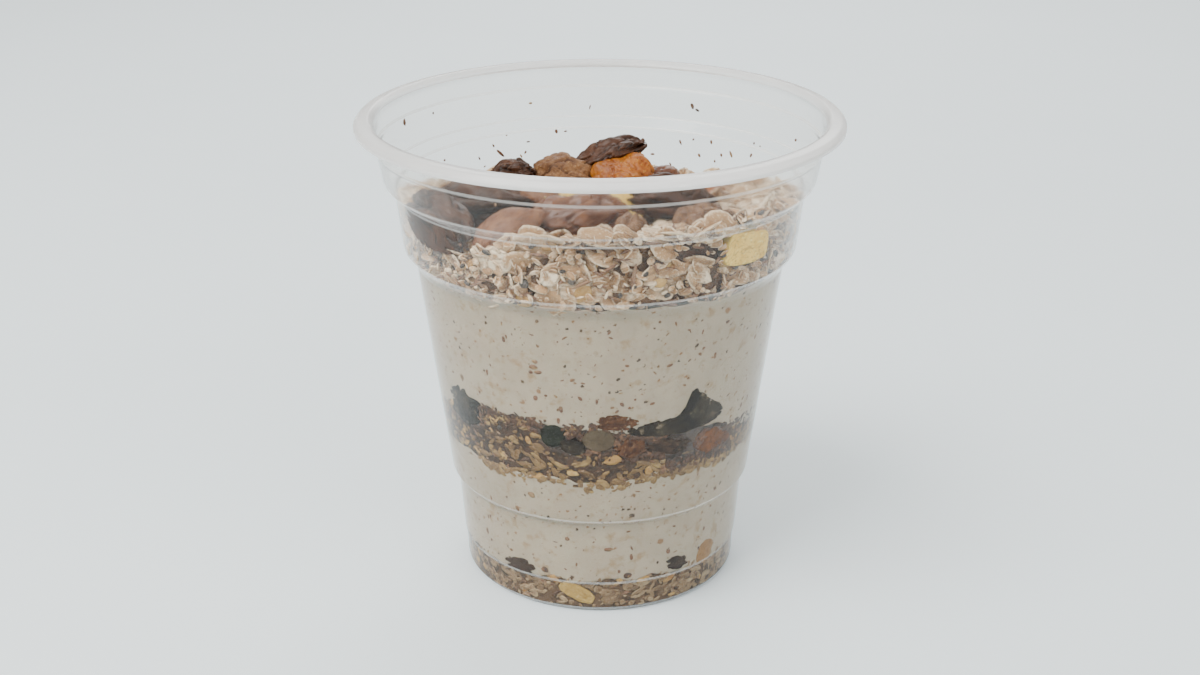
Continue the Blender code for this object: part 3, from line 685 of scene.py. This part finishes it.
def make_muesli(looks):
    """The three layers."""
    for band, (state, core, *_) in MUESLI.items():
        make_core(f"muesli_{band}_core", *core, looks["shaded_crumb_" + state], "muesli_" + band)

    draw = np.random.default_rng(21)
    for band, (state, _, fields, layer_depth, layer_tip, oat, counts) in MUESLI.items():
        for count, kind in zip(counts, kinds_of_flake(state, oat, layer_depth, layer_tip)):
            name, look, size, depth, tip, (rows, steps), margin, spill, shape, into = kind
            made = wall_scatter(count, fields, size, depth, tip, draw, rows, steps, margin, spill, **shape)
            if band == "top" and name in ON_TOP:
                made = joined(made, top_scatter(*ON_TOP[name], size, draw, rows, steps, **shape))
            piece_of(f"{name}_{state}", *made, looks[look], "muesli_" + band, into=into)


# Where dark soaked bits gather at the front: angles from and to, heights from and to, how many
SOAKED = [
    ((-62, -40), (38.0, 43.5), 60), ((-44, -18), (41.5, 44.4), 110), ((-12, 14), (41.2, 44.0), 130),
    ((-8, 22), (38.2, 41.0), 60), ((14, 40), (39.5, 42.0), 80), ((30, 72), (33.5, 38.5), 150),
    ((22, 53), (32.2, 34.6), 110), ((-6, 24), (35.5, 41.0), 110), ((24, 56), (33.8, 39.5), 170),
]
SOAKED_BEHIND = 160

# Clumps that hang at the front: angle, how far under the layer's lower edge, width
CLUMPS = [
    (-41, -0.2, 3.5), (-34.8, -0.9, 3.0), (-24.0, -0.5, 5.0), (-10.2, -0.6, 6.0), (-1.0, -1.3, 3.0),
    (6.6, -1.3, 2.5), (15.3, -0.5, 3.0), (27.1, -0.3, 4.0), (38.0, -0.2, 3.0), (49.4, -0.4, 4.0),
]
CLUMPS_BEHIND = 26
FLAKES_EACH = 16


def make_soaked_bits(looks):
    """Dark shreds of soaked fruit and bran between the larger pieces of the middle layer. SOAKED says where
    they gather. The rest follow the layer's upper edge round the sides and the back."""
    draw = np.random.default_rng(55)
    angles, heights = [], []
    for (start, stop), (low, high), count in SOAKED:
        angles.append(np.radians(draw.uniform(start, stop, count)))
        heights.append(draw.uniform(low, high, count))
    angles.append(np.radians(draw.uniform(72, 298, SOAKED_BEHIND)))
    heights.append(at(middle_top, angles[-1]) + draw.uniform(-3.5, 0.2, SOAKED_BEHIND))
    angle, height = np.concatenate(angles), np.concatenate(heights)
    keep = clear_of_fruit(angle, height, -0.5)
    angle, height = angle[keep], height[keep]
    centres = round_axis(inside_radius(height) - draw.uniform(0.0, 0.25, len(angle)), angle, height)
    more = draw.uniform(0, 1, (len(angle), 3)) ** 1.5
    sizes = np.array([0.8, 0.6, 0.6]) + np.array([2.4, 1.4, 0.6]) * more
    frames = frames_about(outward_of(angle) + draw.normal(0, 0.3, centres.shape), draw, 1.0)
    parts = flakes(centres, frames, sizes, 5, 10, draw, 0.3)
    tones = 1 - 0.95 * draw.uniform(0, 1, len(angle)) ** 2
    piece_of("soaked_bits", parts, tones, looks["soaked_bit"], "muesli_middle", into=SOAKED_INTO)


def make_clumps(looks):
    """Clumps of wet muesli that hang into the yogurt under the middle layer: CLUMPS, and others at random
    round the sides and the back."""
    draw = np.random.default_rng(63)
    places, drops = draw.uniform(60, 320, CLUMPS_BEHIND), np.full(CLUMPS_BEHIND, -0.3)
    strewn = np.column_stack([places, drops, draw.uniform(1.5, 5.0, CLUMPS_BEHIND)])
    around, drop, wide = np.repeat(np.concatenate([CLUMPS, strewn]), FLAKES_EACH, axis=0).T
    angle = np.radians(around) + wide / FIELD_RADIUS * draw.normal(0, 0.5, len(around))
    height = at(middle_bottom, angle) + 0.6 + drop * draw.uniform(0, 1.4, len(angle))
    centres = round_axis(inside_radius(height) - draw.uniform(-0.1, 0.15, len(angle)), angle, height)
    more = draw.uniform(0, 1, (len(angle), 1)) ** 1.6
    sizes = np.array([1.0, 0.7, 0.45]) + np.array([2.4, 1.5, 0.3]) * more
    frames = frames_about(outward_of(angle) + draw.normal(0, 0.15, centres.shape), draw)
    parts = flakes(centres, frames, sizes, 5, 12, draw, 0.25)
    piece_of("clump_flakes", parts, draw.uniform(0, 1, len(angle)), looks["oat_wet"], "muesli_middle")


# Yogurt


def ragged(field, by, seed):
    """A height field moved up or down, uneven towards the wall, where it meets the muesli."""

    def level(x, y):
        uneven = waves(np.stack([x, y, 0 * x], -1), 6.0, seed, 3)
        return field(x, y) + by + 0.75 * uneven * np.clip(np.hypot(x, y) / FIELD_RADIUS, 0, 1)

    return level


def sunk(field):
    """A height field that drops just inside the wall, so that no ledge of it shows under the flakes."""
    return lambda x, y: field(x, y) - 2.2 * np.clip(14.3 - 14.3 * np.hypot(x, y) / FIELD_RADIUS, 0, 1)


def make_yogurt(looks):
    """Two bodies that reach just into the wall."""
    spans = {
        "yogurt_lower": (ragged(base_top, -0.5, 31), sunk(ragged(middle_bottom, 0.4, 32))),
        "yogurt_upper": (ragged(middle_top, -1.0, 33), sunk(ragged(top_bottom, 0.5, 34))),
    }
    for name, (low, high) in spans.items():
        points, faces = slug(low, high, YOGURT_INTO, 384, 16, 60)
        dresses(mesh_object(name + "_dressed", points, faces, [looks["yogurt"]]), "yogurt", name)


# Larger things in the yogurt that show at the wall: angle, height, their width and height, tone
FLECKS = [
    (-22.5, 9.0, 2.0, 1.8, 0.95), (11.0, 8.6, 2.1, 1.9, 0.95), (12.3, 12.9, 0.9, 1.9, 0.6),
    (3.3, 15.0, 2.4, 1.2, 0.3), (13.9, 21.9, 2.0, 1.2, 0.65), (-12.7, 17.1, 1.2, 1.2, 0.45),
    (-31.6, 22.8, 1.3, 2.0, 0.25), (-25.1, 26.9, 1.9, 2.1, 0.2), (45.7, 14.9, 0.8, 1.2, 0.5),
    (64.7, 23.0, 0.8, 3.2, 0.4), (-51.7, 13.1, 1.0, 2.0, 0.4), (-20.6, 49.0, 1.3, 1.5, 0.6),
    (-12.4, 47.4, 1.0, 2.6, 0.65), (-13.4, 44.8, 0.8, 2.2, 0.6), (-8.9, 43.6, 0.9, 1.5, 0.65),
    (-20.6, 55.6, 2.4, 1.4, 0.1), (-19.2, 54.6, 2.0, 1.1, 0.3), (-21.6, 54.4, 1.2, 0.9, 0.8),
    (-20.0, 56.8, 1.6, 1.0, 0.15), (-37.9, 52.3, 0.8, 2.0, 0.2), (60.0, 42.5, 0.8, 2.2, 0.6),
    (56.1, 41.5, 0.8, 2.0, 0.8), (-1.0, 49.2, 0.7, 1.4, 0.7), (9.3, 47.6, 0.8, 0.8, 0.6),
    (28.4, 52.3, 0.7, 0.7, 0.6), (38.0, 56.0, 0.8, 2.6, 0.5), (-30.0, 60.5, 0.9, 2.2, 0.75),
]
# Grains of bran strewn in each body of yogurt: heights from and to, how many
BRAN = {"lower": (9.5, 30.5, 210), "upper": (45.5, 67.5, 420)}


def make_flecks(looks):
    """Grains of bran in the yogurt: strewn ones, and FLECKS, which stand upright at the wall."""
    draw = np.random.default_rng(77)
    for part_name, (low, high, count) in BRAN.items():
        angle = draw.uniform(0, TURN, count)
        height = draw.uniform(low, high, count)
        length = 0.35 + 1.5 * draw.uniform(0, 1, count) ** 3
        sizes = np.stack([length, length * draw.uniform(0.25, 0.8, count), np.full(count, 0.5)], -1)
        tones = draw.uniform(0, 1, count) ** 1.3
        placed = np.array([fleck for fleck in FLECKS if (fleck[1] < MIDDLE_BOTTOM) == (part_name == "lower")])
        angle = np.concatenate([angle, np.radians(placed[:, 0])])
        height = np.concatenate([height, placed[:, 1]])
        sizes = np.concatenate([sizes, np.column_stack([placed[:, 2:4], np.full(len(placed), 0.9)])])
        tones = np.concatenate([tones, placed[:, 4]])
        frames = frames_about(outward_of(angle), draw)
        beside = outward_of(angle[count:] + np.pi / 2)
        upward = np.broadcast_to([0.0, 0.0, 1.0], beside.shape)
        frames[count:] = np.stack([beside, upward, outward_of(angle[count:])], -1)
        centres = round_axis(inside_radius(height) + 0.02, angle, height)
        parts = flakes(centres, frames, sizes, 3, 10, draw, bend=0.1)
        piece_of(f"flecks_{part_name}", parts, tones, looks["fleck"], "yogurt_" + part_name, "yogurt")


# Crumbs on the wall: angle, height, length, width
CRUMBS = [
    (-111, 89.1, 1.6, 1.1), (-159, 86.9, 0.9, 0.5), (-177, 85.4, 1.1, 0.3), (151.7, 86.8, 1.4, 0.8),
    (150, 86.1, 1.0, 0.6), (-146.5, 77.6, 2.6, 0.7), (-166, 80.9, 1.0, 0.7), (-169, 80.8, 0.8, 0.4),
    (153.6, 79.3, 1.2, 0.5), (149.2, 80.3, 0.7, 0.4), (142.7, 80.4, 1.0, 0.6), (146.7, 77.1, 1.0, 0.6),
    (138.5, 78.1, 0.8, 0.6), (134.7, 78.8, 1.7, 0.6), (126.2, 79.8, 1.1, 0.6), (126.5, 82.2, 0.6, 0.4),
    (108.8, 85.8, 0.9, 0.6), (-164.6, 75.3, 1.2, 0.8), (-125, 88.6, 0.6, 0.4),
]
CRUMBS_STREWN = 46
HIGHEST_CRUMB = 92.0


def make_crumbs(looks):
    """Crumbs that stuck to the inside of the wall above the muesli: CRUMBS, and others at random."""
    draw = np.random.default_rng(99)
    placed = np.array(CRUMBS)
    strewn = draw.uniform(0, TURN, CRUMBS_STREWN)
    above = 1 + 9 * draw.uniform(0, 1, CRUMBS_STREWN) ** 2.2
    angle = np.concatenate([np.radians(placed[:, 0]), strewn])
    height = np.minimum(np.concatenate([placed[:, 1], at(top_top, strewn) + above]), HIGHEST_CRUMB)
    count = len(angle)
    centres = round_axis(inside_radius(height) - 0.15, angle, height)
    long, wide = draw.uniform(0.3, 1.0, count), draw.uniform(0.25, 0.6, count)
    sizes = np.stack([long, wide, np.full(count, 0.35)], -1)
    sizes[: len(placed), :2] = placed[:, 2:]
    parts = flakes(centres, frames_about(outward_of(angle), draw), sizes, 3, 8, draw, bend=0.3)
    tones = draw.uniform(0, 1, count)
    piece_of("crumbs_on_wall", parts, tones, looks["fleck"], "muesli_top", into=0.05)


# Materials


COLOUR_SOCKETS = ("Ground", "Patches", "Spots", "Color")


def new_group(name, inputs, outputs):
    """An empty shader node group with its sockets. Those not in COLOUR_SOCKETS hold numbers."""
    group = bpy.data.node_groups.new(name, "ShaderNodeTree")
    for way, sockets in (("INPUT", inputs), ("OUTPUT", outputs)):
        for socket in sockets:
            kind = "NodeSocketColor" if socket in COLOUR_SOCKETS else "NodeSocketFloat"
            group.interface.new_socket(socket, in_out=way, socket_type=kind)
    return group, group.nodes.new("NodeGroupInput").outputs, group.nodes.new("NodeGroupOutput").inputs


def link(tree, start, end):
    tree.links.new(start, end)


def feed(tree, socket, value):
    """Gives a socket what it reads: another socket's value, a colour or a number."""
    if isinstance(value, bpy.types.NodeSocket):
        link(tree, value, socket)
    else:
        socket.default_value = (*value, 1.0) if isinstance(value, tuple) else value


def math(tree, operation, *values):
    """A Math node. Each value is a socket or a number."""
    node = tree.nodes.new("ShaderNodeMath")
    node.operation = operation
    for socket, value in zip(node.inputs, values):
        feed(tree, socket, value)
    return node.outputs[0]


def step(tree, value, low, high, to_low=0.0, to_high=1.0):
    """A smooth step of a value between low and high."""
    node = tree.nodes.new("ShaderNodeMapRange")
    node.interpolation_type = "SMOOTHSTEP"
    for socket, given in zip(node.inputs, (value, low, high, to_low, to_high)):
        feed(tree, socket, given)
    return node.outputs["Result"]


def mixed(tree, factor, first, second):
    """Two colours mixed by a factor. Each is a socket or a value."""
    node = tree.nodes.new("ShaderNodeMix")
    node.data_type = "RGBA"
    for place, value in ((0, factor), (6, first), (7, second)):
        feed(tree, node.inputs[place], value)
    return node.outputs[2]


def noise(tree, where, scale, detail=4.0, rough=0.55):
    node = tree.nodes.new("ShaderNodeTexNoise")
    for key, value in (("Vector", where), ("Scale", scale), ("Detail", detail), ("Roughness", rough)):
        feed(tree, node.inputs[key], value)
    return node.outputs["Fac"]


def mottle_group():
    """Three colours in patches, and a height for the grain: coarse noise chooses between the first two and
    finer noise brings in the third."""
    group, given, out = new_group("mottle", ("Ground", "Patches", "Spots", "Scale"), ("Color", "Height"))
    where = group.nodes.new("ShaderNodeTexCoord").outputs["Object"]
    coarse = noise(group, where, given["Scale"])
    fine = noise(group, where, math(group, "MULTIPLY", given["Scale"], 4.3), 6.0, 0.65)
    patches = mixed(group, step(group, coarse, 0.40, 0.62), given["Ground"], given["Patches"])
    link(group, mixed(group, step(group, fine, 0.54, 0.72), patches, given["Spots"]), out["Color"])
    link(group, math(group, "MULTIPLY_ADD", fine, 0.7, math(group, "MULTIPLY", coarse, 0.5)), out["Height"])


def speckle_group():
    """Grains of bran in a pale ground: a Voronoi cell has a speck at its centre where its random red is under
    Share. Its green gives the speck's size and its blue the speck's colour, and fine noise bends outlines."""
    group, given, out = new_group("speckle", ("Ground", "Scale", "Share"), ("Color",))
    where = group.nodes.new("ShaderNodeTexCoord").outputs["Object"]
    cells = group.nodes.new("ShaderNodeTexVoronoi")
    moved = group.nodes.new("ShaderNodeVectorMath")
    link(group, where, moved.inputs[0])
    bend = math(group, "MULTIPLY_ADD", noise(group, where, 1500.0, 2.0), 0.0011, -0.00055)
    link(group, bend, moved.inputs[1])
    link(group, moved.outputs[0], cells.inputs["Vector"])
    link(group, given["Scale"], cells.inputs["Scale"])
    parts = group.nodes.new("ShaderNodeSeparateColor")
    link(group, cells.outputs["Color"], parts.inputs["Color"])
    there = math(group, "LESS_THAN", parts.outputs["Red"], given["Share"])
    radius = math(group, "MULTIPLY_ADD", parts.outputs["Green"], 0.22, 0.07)
    near = math(group, "SUBTRACT", radius, cells.outputs["Distance"])
    mask = math(group, "MULTIPLY", step(group, near, -0.02, 0.07), there)
    tone = step(group, parts.outputs["Blue"], 0.2, 0.9)
    brown = mixed(group, tone, (0.27, 0.165, 0.09), (0.07, 0.05, 0.038))
    link(group, mixed(group, mask, given["Ground"], brown), out["Color"])


def streak_group():
    """Lines along a flake: noise read finely across its width and coarsely by its place and tone, so that
    each flake has lines of its own."""
    group, given, out = new_group("streaks", ("Across", "Tone"), ("Mask",))
    place = group.nodes.new("ShaderNodeTexCoord").outputs["Object"]
    slow = noise(group, place, 240.0, 2.0)
    where = group.nodes.new("ShaderNodeCombineXYZ")
    link(group, math(group, "MULTIPLY", given["Across"], 2.6), where.inputs["X"])
    link(group, math(group, "MULTIPLY", given["Tone"], 57.0), where.inputs["Y"])
    link(group, math(group, "MULTIPLY", slow, 2.2), where.inputs["Z"])
    link(group, step(group, noise(group, where.outputs["Vector"], 1.6, 4.0, 0.6), 0.50, 0.66), out["Mask"])


def new_material(name, roughness, **constants):
    """A Principled material with its constants set on the shader's own sockets."""
    made = bpy.data.materials.new(name)
    made.use_nodes = True
    shader = made.node_tree.nodes["Principled BSDF"]
    shader.inputs["Roughness"].default_value = roughness
    for key, value in constants.items():
        feed(made.node_tree, shader.inputs[key.replace("_", " ")], value)
    return made, made.node_tree, shader.inputs


def use(tree, group, **values):
    """A node that uses the group of a name. Each value is a socket, a number or a colour."""
    node = tree.nodes.new("ShaderNodeGroup")
    node.node_tree = bpy.data.node_groups[group]
    for key, value in values.items():
        feed(tree, node.inputs[key], value)
    return node.outputs


def bumped(tree, height, distance, normal_socket, strength=1.0):
    bump = tree.nodes.new("ShaderNodeBump")
    for key, value in (("Height", height), ("Distance", distance * MM), ("Strength", strength)):
        feed(tree, bump.inputs[key], value)
    link(tree, bump.outputs["Normal"], normal_socket)


def mark(tree, name):
    node = tree.nodes.new("ShaderNodeAttribute")
    node.attribute_name = name
    return node.outputs["Fac"]


def fruit_material(name, scale, roughness, relief, ground, patches, spots, fold_shade_colour, **constants):
    """Flesh in three mottled colours, with painted shade that darkens its folds, and a fine grain."""
    made, tree, sockets = new_material(name, roughness, **constants)
    grain = use(tree, "mottle", Ground=ground, Patches=patches, Spots=spots, Scale=scale)
    # Painted shade: the colour darkens towards the fold colour where a point lies deep in a fold
    folds = step(tree, mark(tree, "fold"), 0.25, 0.95, 0.0, 0.8)
    link(tree, mixed(tree, folds, grain["Color"], fold_shade_colour), sockets["Base Color"])
    bumped(tree, grain["Height"], relief, sockets["Normal"])
    return made


def flake_material(name, pale, middle, dark, roughness, relief, rim_light, **constants):
    """Flakes that go from pale to dark by their own tone, with floury edges and mottled faces."""
    made, tree, sockets = new_material(name, roughness, **constants)
    tone = mark(tree, "tone")
    first = mixed(tree, step(tree, tone, 0.0, 0.6), pale, middle)
    ground = mixed(tree, step(tree, tone, 0.6, 1.0), first, dark)
    grain = use(tree, "mottle", Ground=ground, Patches=middle, Spots=pale, Scale=620.0)
    lines = use(tree, "streaks", Across=mark(tree, "across"), Tone=tone)["Mask"]
    streaked = mixed(tree, math(tree, "MULTIPLY", lines, 0.6), grain["Color"], dark)
    edge = step(tree, mark(tree, "rim"), 0.45, 1.0, 0.0, rim_light)
    edge = math(tree, "MULTIPLY", edge, step(tree, grain["Height"], 0.45, 0.7))
    link(tree, mixed(tree, edge, streaked, pale), sockets["Base Color"])
    bumped(tree, grain["Height"], relief, sockets["Normal"])
    return made


def plastic_material(name, colour, transmission, roughness, gloss):
    """Clear or milky plastic. Shadow rays pass it, since light reaches what it holds from every side."""
    made, tree, sockets = new_material(
        name, roughness, Base_Color=colour, Transmission_Weight=transmission, IOR=1.36,
        Specular_IOR_Level=0.5 * gloss, Specular_Tint=(gloss,) * 3
    )
    grain = use(tree, "mottle", Scale=160.0)
    link(tree, step(tree, grain["Height"], 0.4, 0.8, roughness * 0.8, roughness * 1.35), sockets["Roughness"])
    bumped(tree, grain["Height"], 0.03, sockets["Normal"], 0.25)
    shader = tree.nodes["Principled BSDF"]
    clear = tree.nodes.new("ShaderNodeBsdfTransparent")
    clear.inputs["Color"].default_value = (*(0.97 * transmission + 0.2 * (1 - transmission),) * 3, 1.0)
    blend = tree.nodes.new("ShaderNodeMixShader")
    link(tree, tree.nodes.new("ShaderNodeLightPath").outputs["Is Shadow Ray"], blend.inputs[0])
    link(tree, shader.outputs[0], blend.inputs[1])
    link(tree, clear.outputs[0], blend.inputs[2])
    link(tree, blend.outputs[0], tree.nodes["Material Output"].inputs["Surface"])
    return made


def yogurt_material():
    """Off-white, with small and large grains of bran and soft brown smears."""
    made, tree, sockets = new_material(
        "yogurt_speckled", 0.5, Subsurface_Weight=0.2, Subsurface_Scale=0.002, Specular_IOR_Level=0.15
    )
    colours = {"Ground": (0.40, 0.345, 0.26), "Patches": (0.43, 0.375, 0.285), "Spots": (0.34, 0.28, 0.195)}
    grain = use(tree, "mottle", **colours, Scale=180.0)
    small = use(tree, "speckle", Ground=grain["Color"], Scale=760.0, Share=0.6)
    large = use(tree, "speckle", Ground=small["Color"], Scale=340.0, Share=0.16)
    smear = noise(tree, tree.nodes.new("ShaderNodeTexCoord").outputs["Object"], 330.0, 5.0, 0.6)
    soft = step(tree, smear, 0.545, 0.72, 0.0, 0.7)
    link(tree, mixed(tree, soft, large["Color"], (0.30, 0.20, 0.095)), sockets["Base Color"])
    bumped(tree, grain["Height"], 0.05, sockets["Normal"], 0.3)
    return made


# Plastics: name, colour, transmission, roughness, gloss
PLASTICS = {
    "wall": ("clear_plastic_wall", (0.97, 0.96, 0.94), 0.99, 0.07, 0.25),
    # Painted light: milkier plastic gives a highlight at the corners, and reflection and shade in the lip
    "corner": ("plastic_corner_painted_highlight", (0.95, 0.93, 0.89), 0.76, 0.15, 0.6),
    "lip": ("milky_plastic_lip_painted_reflection", (0.90, 0.895, 0.88), 0.58, 0.2, 1.0),
}

# States of muesli: pale, middle and dark colour of its flakes, their roughness, how floury their edges are
STATES = {
    "dry": ((0.90, 0.77, 0.57), (0.45, 0.26, 0.115), (0.15, 0.075, 0.033), 0.75, 0.9),
    # The base's palette: damp flakes, darker partly as painted shade at the bottom of the cup
    "damp_shaded": ((0.42, 0.32, 0.18), (0.23, 0.145, 0.072), (0.11, 0.064, 0.032), 0.6, 0.6),
    "wet": ((0.38, 0.255, 0.090), (0.20, 0.115, 0.042), (0.060, 0.030, 0.014), 0.45, 0.25),
}

# Other flakes: name, pale, middle and dark colour, roughness, depth of the grain, light of the edges
GRAINS = {
    "husk": ("bran_husk", (0.42, 0.27, 0.15), (0.20, 0.10, 0.055), (0.05, 0.032, 0.025), 0.55, 0.05, 0.1),
    "seed": ("small_seed", (0.16, 0.13, 0.10), (0.05, 0.045, 0.04), (0.03, 0.028, 0.026), 0.4, 0.05, 0.1),
    "corn": ("corn_flake", (0.58, 0.41, 0.15), (0.42, 0.25, 0.075), (0.28, 0.13, 0.035), 0.5, 0.08, 0.25),
    "soaked_bit": (
        "soaked_bit", (0.25, 0.125, 0.058), (0.072, 0.034, 0.018), (0.022, 0.015, 0.011), 0.45, 0.08, 0.0
    ),
    "fleck": ("bran_fleck", (0.36, 0.24, 0.11), (0.17, 0.080, 0.045), (0.045, 0.030, 0.024), 0.5, 0.03, 0.0),
}

# Fruit and nuts: scale of the patches, roughness, depth of the grain; colours of the ground, its patches,
# its spots and the painted shade in the folds
FLESH = {
    "dark_fruit": (260.0, 0.42, 0.16, (0.042, 0.016, 0.007), (0.075, 0.028, 0.012),
                   (0.14, 0.07, 0.036), (0.01, 0.005, 0.003)),
    "brown_fruit": (280.0, 0.38, 0.18, (0.17, 0.062, 0.022), (0.1, 0.033, 0.013),
                    (0.3, 0.14, 0.06), (0.05, 0.018, 0.009)),
    "amber_fruit": (300.0, 0.38, 0.16, (0.36, 0.11, 0.009), (0.24, 0.06, 0.005),
                    (0.5, 0.23, 0.042), (0.17, 0.04, 0.006)),
    "yellow_fruit": (350.0, 0.42, 0.1, (0.95, 0.64, 0.17), (0.84, 0.52, 0.11),
                     (0.97, 0.8, 0.38), (0.55, 0.3, 0.06)),
    "nut": (420.0, 0.5, 0.12, (0.24, 0.105, 0.045), (0.165, 0.062, 0.026),
            (0.36, 0.2, 0.1), (0.1, 0.04, 0.018)),
    "walnut": (380.0, 0.5, 0.14, (0.22, 0.115, 0.05), (0.14, 0.063, 0.026),
               (0.34, 0.205, 0.105), (0.085, 0.038, 0.017)),
    "green_seed": (420.0, 0.4, 0.06, (0.018, 0.022, 0.013), (0.009, 0.011, 0.007),
                   (0.045, 0.048, 0.03), (0.006, 0.006, 0.004)),
    "soaked_prune": (160.0, 0.4, 0.12, (0.036, 0.026, 0.017), (0.012, 0.009, 0.007),
                     (0.17, 0.135, 0.09), (0.01, 0.008, 0.006)),
    "soaked_sugar": (420.0, 0.45, 0.25, (0.066, 0.038, 0.025), (0.032, 0.02, 0.014),
                     (0.2, 0.135, 0.09), (0.018, 0.012, 0.009)),
    "soaked_date": (420.0, 0.45, 0.25, (0.13, 0.057, 0.027), (0.06, 0.026, 0.014),
                    (0.28, 0.16, 0.085), (0.035, 0.015, 0.008)),
    "soaked_amber": (260.0, 0.45, 0.1, (0.17, 0.06, 0.018), (0.085, 0.032, 0.012),
                     (0.25, 0.105, 0.035), (0.055, 0.02, 0.008)),
    "soaked_raisin": (260.0, 0.4, 0.1, (0.045, 0.026, 0.017), (0.024, 0.016, 0.012),
                      (0.1, 0.062, 0.038), (0.014, 0.01, 0.008)),
    "soaked_tan": (300.0, 0.45, 0.1, (0.33, 0.19, 0.07), (0.24, 0.125, 0.042),
                   (0.42, 0.28, 0.13), (0.14, 0.07, 0.026)),
    "soaked_mango": (300.0, 0.45, 0.1, (0.5, 0.36, 0.125), (0.4, 0.27, 0.085),
                     (0.56, 0.44, 0.2), (0.26, 0.16, 0.05)),
    "soaked_nut": (330.0, 0.45, 0.06, (0.105, 0.08, 0.05), (0.085, 0.062, 0.038),
                   (0.15, 0.12, 0.08), (0.05, 0.035, 0.02)),
    "crumbly_date": (520.0, 0.55, 0.5, (0.25, 0.115, 0.04), (0.15, 0.062, 0.022),
                     (0.42, 0.25, 0.11), (0.07, 0.028, 0.012)),
}

# What else some of them have
SHEEN = {
    "dark_fruit": {"Specular_IOR_Level": 0.32},
    "brown_fruit": {"Coat_Weight": 0.2, "Subsurface_Weight": 0.06},
    "amber_fruit": {"Specular_IOR_Level": 0.4, "Subsurface_Weight": 0.1},
    "yellow_fruit": {"Subsurface_Weight": 0.15},
}
# What soaked fruit and seeds have: pressed against the wall in yogurt, a surface has little shine of its own
MUTED = {"Specular_IOR_Level": 0.15}


def make_materials():
    mottle_group()
    speckle_group()
    streak_group()
    looks = {key: plastic_material(*values) for key, values in PLASTICS.items()}
    looks["yogurt"] = yogurt_material()
    for state, (pale, middle, dark, roughness, rim) in STATES.items():
        values = (pale, middle, dark, roughness, 0.10, rim)
        looks["oat_" + state] = flake_material("oat_" + state, *values, Subsurface_Weight=0.05)
        looks["bit_" + state] = flake_material("oat_bit_" + state, *values)
        # Painted shade: the body between flakes takes the flakes' dark colour and a darker one, for shade in
        # the gaps
        deep = tuple(0.35 * c for c in dark)
        looks["shaded_crumb_" + state] = flake_material("shaded_crumb_" + state, dark, deep, deep, roughness, 0.3, 0.0)
    for key, values in GRAINS.items():
        looks[key] = flake_material(*values)
    for key, values in FLESH.items():
        muted = key.startswith("soaked_") or key == "green_seed"
        more = MUTED if muted else SHEEN.get(key, {})
        looks[key] = fruit_material(key + "_flesh", *values, **more)
    return looks


# The set

# The photo's camera, as solved from the cup's rims and rings: place in metres, degrees down, lens
CAMERA_PLACE = (0.0, -0.3065, 0.1745)
CAMERA_DOWN = 22.44
CAMERA_LENS = 48.6


def area_light(name, place, size, power, colour, target=(0.0, 0.0, 0.05)):
    data = bpy.data.lights.new(name, "AREA")
    data.shape, data.size, data.energy, data.color = "SQUARE", size, power, colour
    lamp = bpy.data.objects.new(name, data)
    lamp.location = place
    way = lamp.location - type(lamp.location)(target)
    lamp.rotation_euler = way.to_track_quat("Z", "Y").to_euler()
    bpy.context.scene.collection.objects.link(lamp)


def make_set():
    """A pale floor, soft light from above on the left, a fill from the right, and the camera."""
    far = 3000.0
    corners = np.array([(-far, -far, 0), (far, -far, 0), (far, far, 0), (-far, far, 0)]) - [0, 0, 0.02]
    made, tree, sockets = new_material("pale_floor", 0.85, Emission_Strength=0.18)
    colours = {"Ground": (0.84, 0.93, 0.96), "Patches": (0.83, 0.92, 0.95), "Spots": (0.845, 0.935, 0.965)}
    grain = use(tree, "mottle", **colours, Scale=9.0)
    link(tree, grain["Color"], sockets["Base Color"])
    link(tree, grain["Color"], sockets["Emission Color"])
    mesh_object("pale_floor", corners, np.array([(0, 1, 2), (0, 2, 3)]), [made])

    world = bpy.data.worlds.new("studio")
    world.use_nodes = True
    background = world.node_tree.nodes["Background"].inputs
    background["Color"].default_value = (1.0, 0.985, 0.96, 1.0)
    background["Strength"].default_value = 0.66
    bpy.context.scene.world = world
    area_light("key", (-0.45, -0.35, 0.75), 0.6, 10.5, (1.0, 0.985, 0.96))
    area_light("fill", (0.55, -0.5, 0.35), 0.7, 2.8, (0.96, 0.98, 1.0))
    area_light("back", (0.1, 0.7, 0.6), 0.6, 4.0, (1.0, 1.0, 1.0))

    data = bpy.data.cameras.new("photo_camera")
    data.lens, data.sensor_width = CAMERA_LENS, 36.0
    camera = bpy.data.objects.new("photo_camera", data)
    camera.location = CAMERA_PLACE
    camera.rotation_euler = (np.radians(90 - CAMERA_DOWN), 0.0, 0.0)
    bpy.context.scene.collection.objects.link(camera)
    bpy.context.scene.camera = camera


def main():
    looks = make_materials()
    make_cup([looks["wall"], looks["lip"], looks["corner"]])
    make_yogurt(looks)
    make_flecks(looks)
    make_muesli(looks)
    make_soaked_bits(looks)
    make_clumps(looks)
    make_fruit(looks)
    make_crumbs(looks)
    make_set()


main()
bpy.context.view_layer.update()
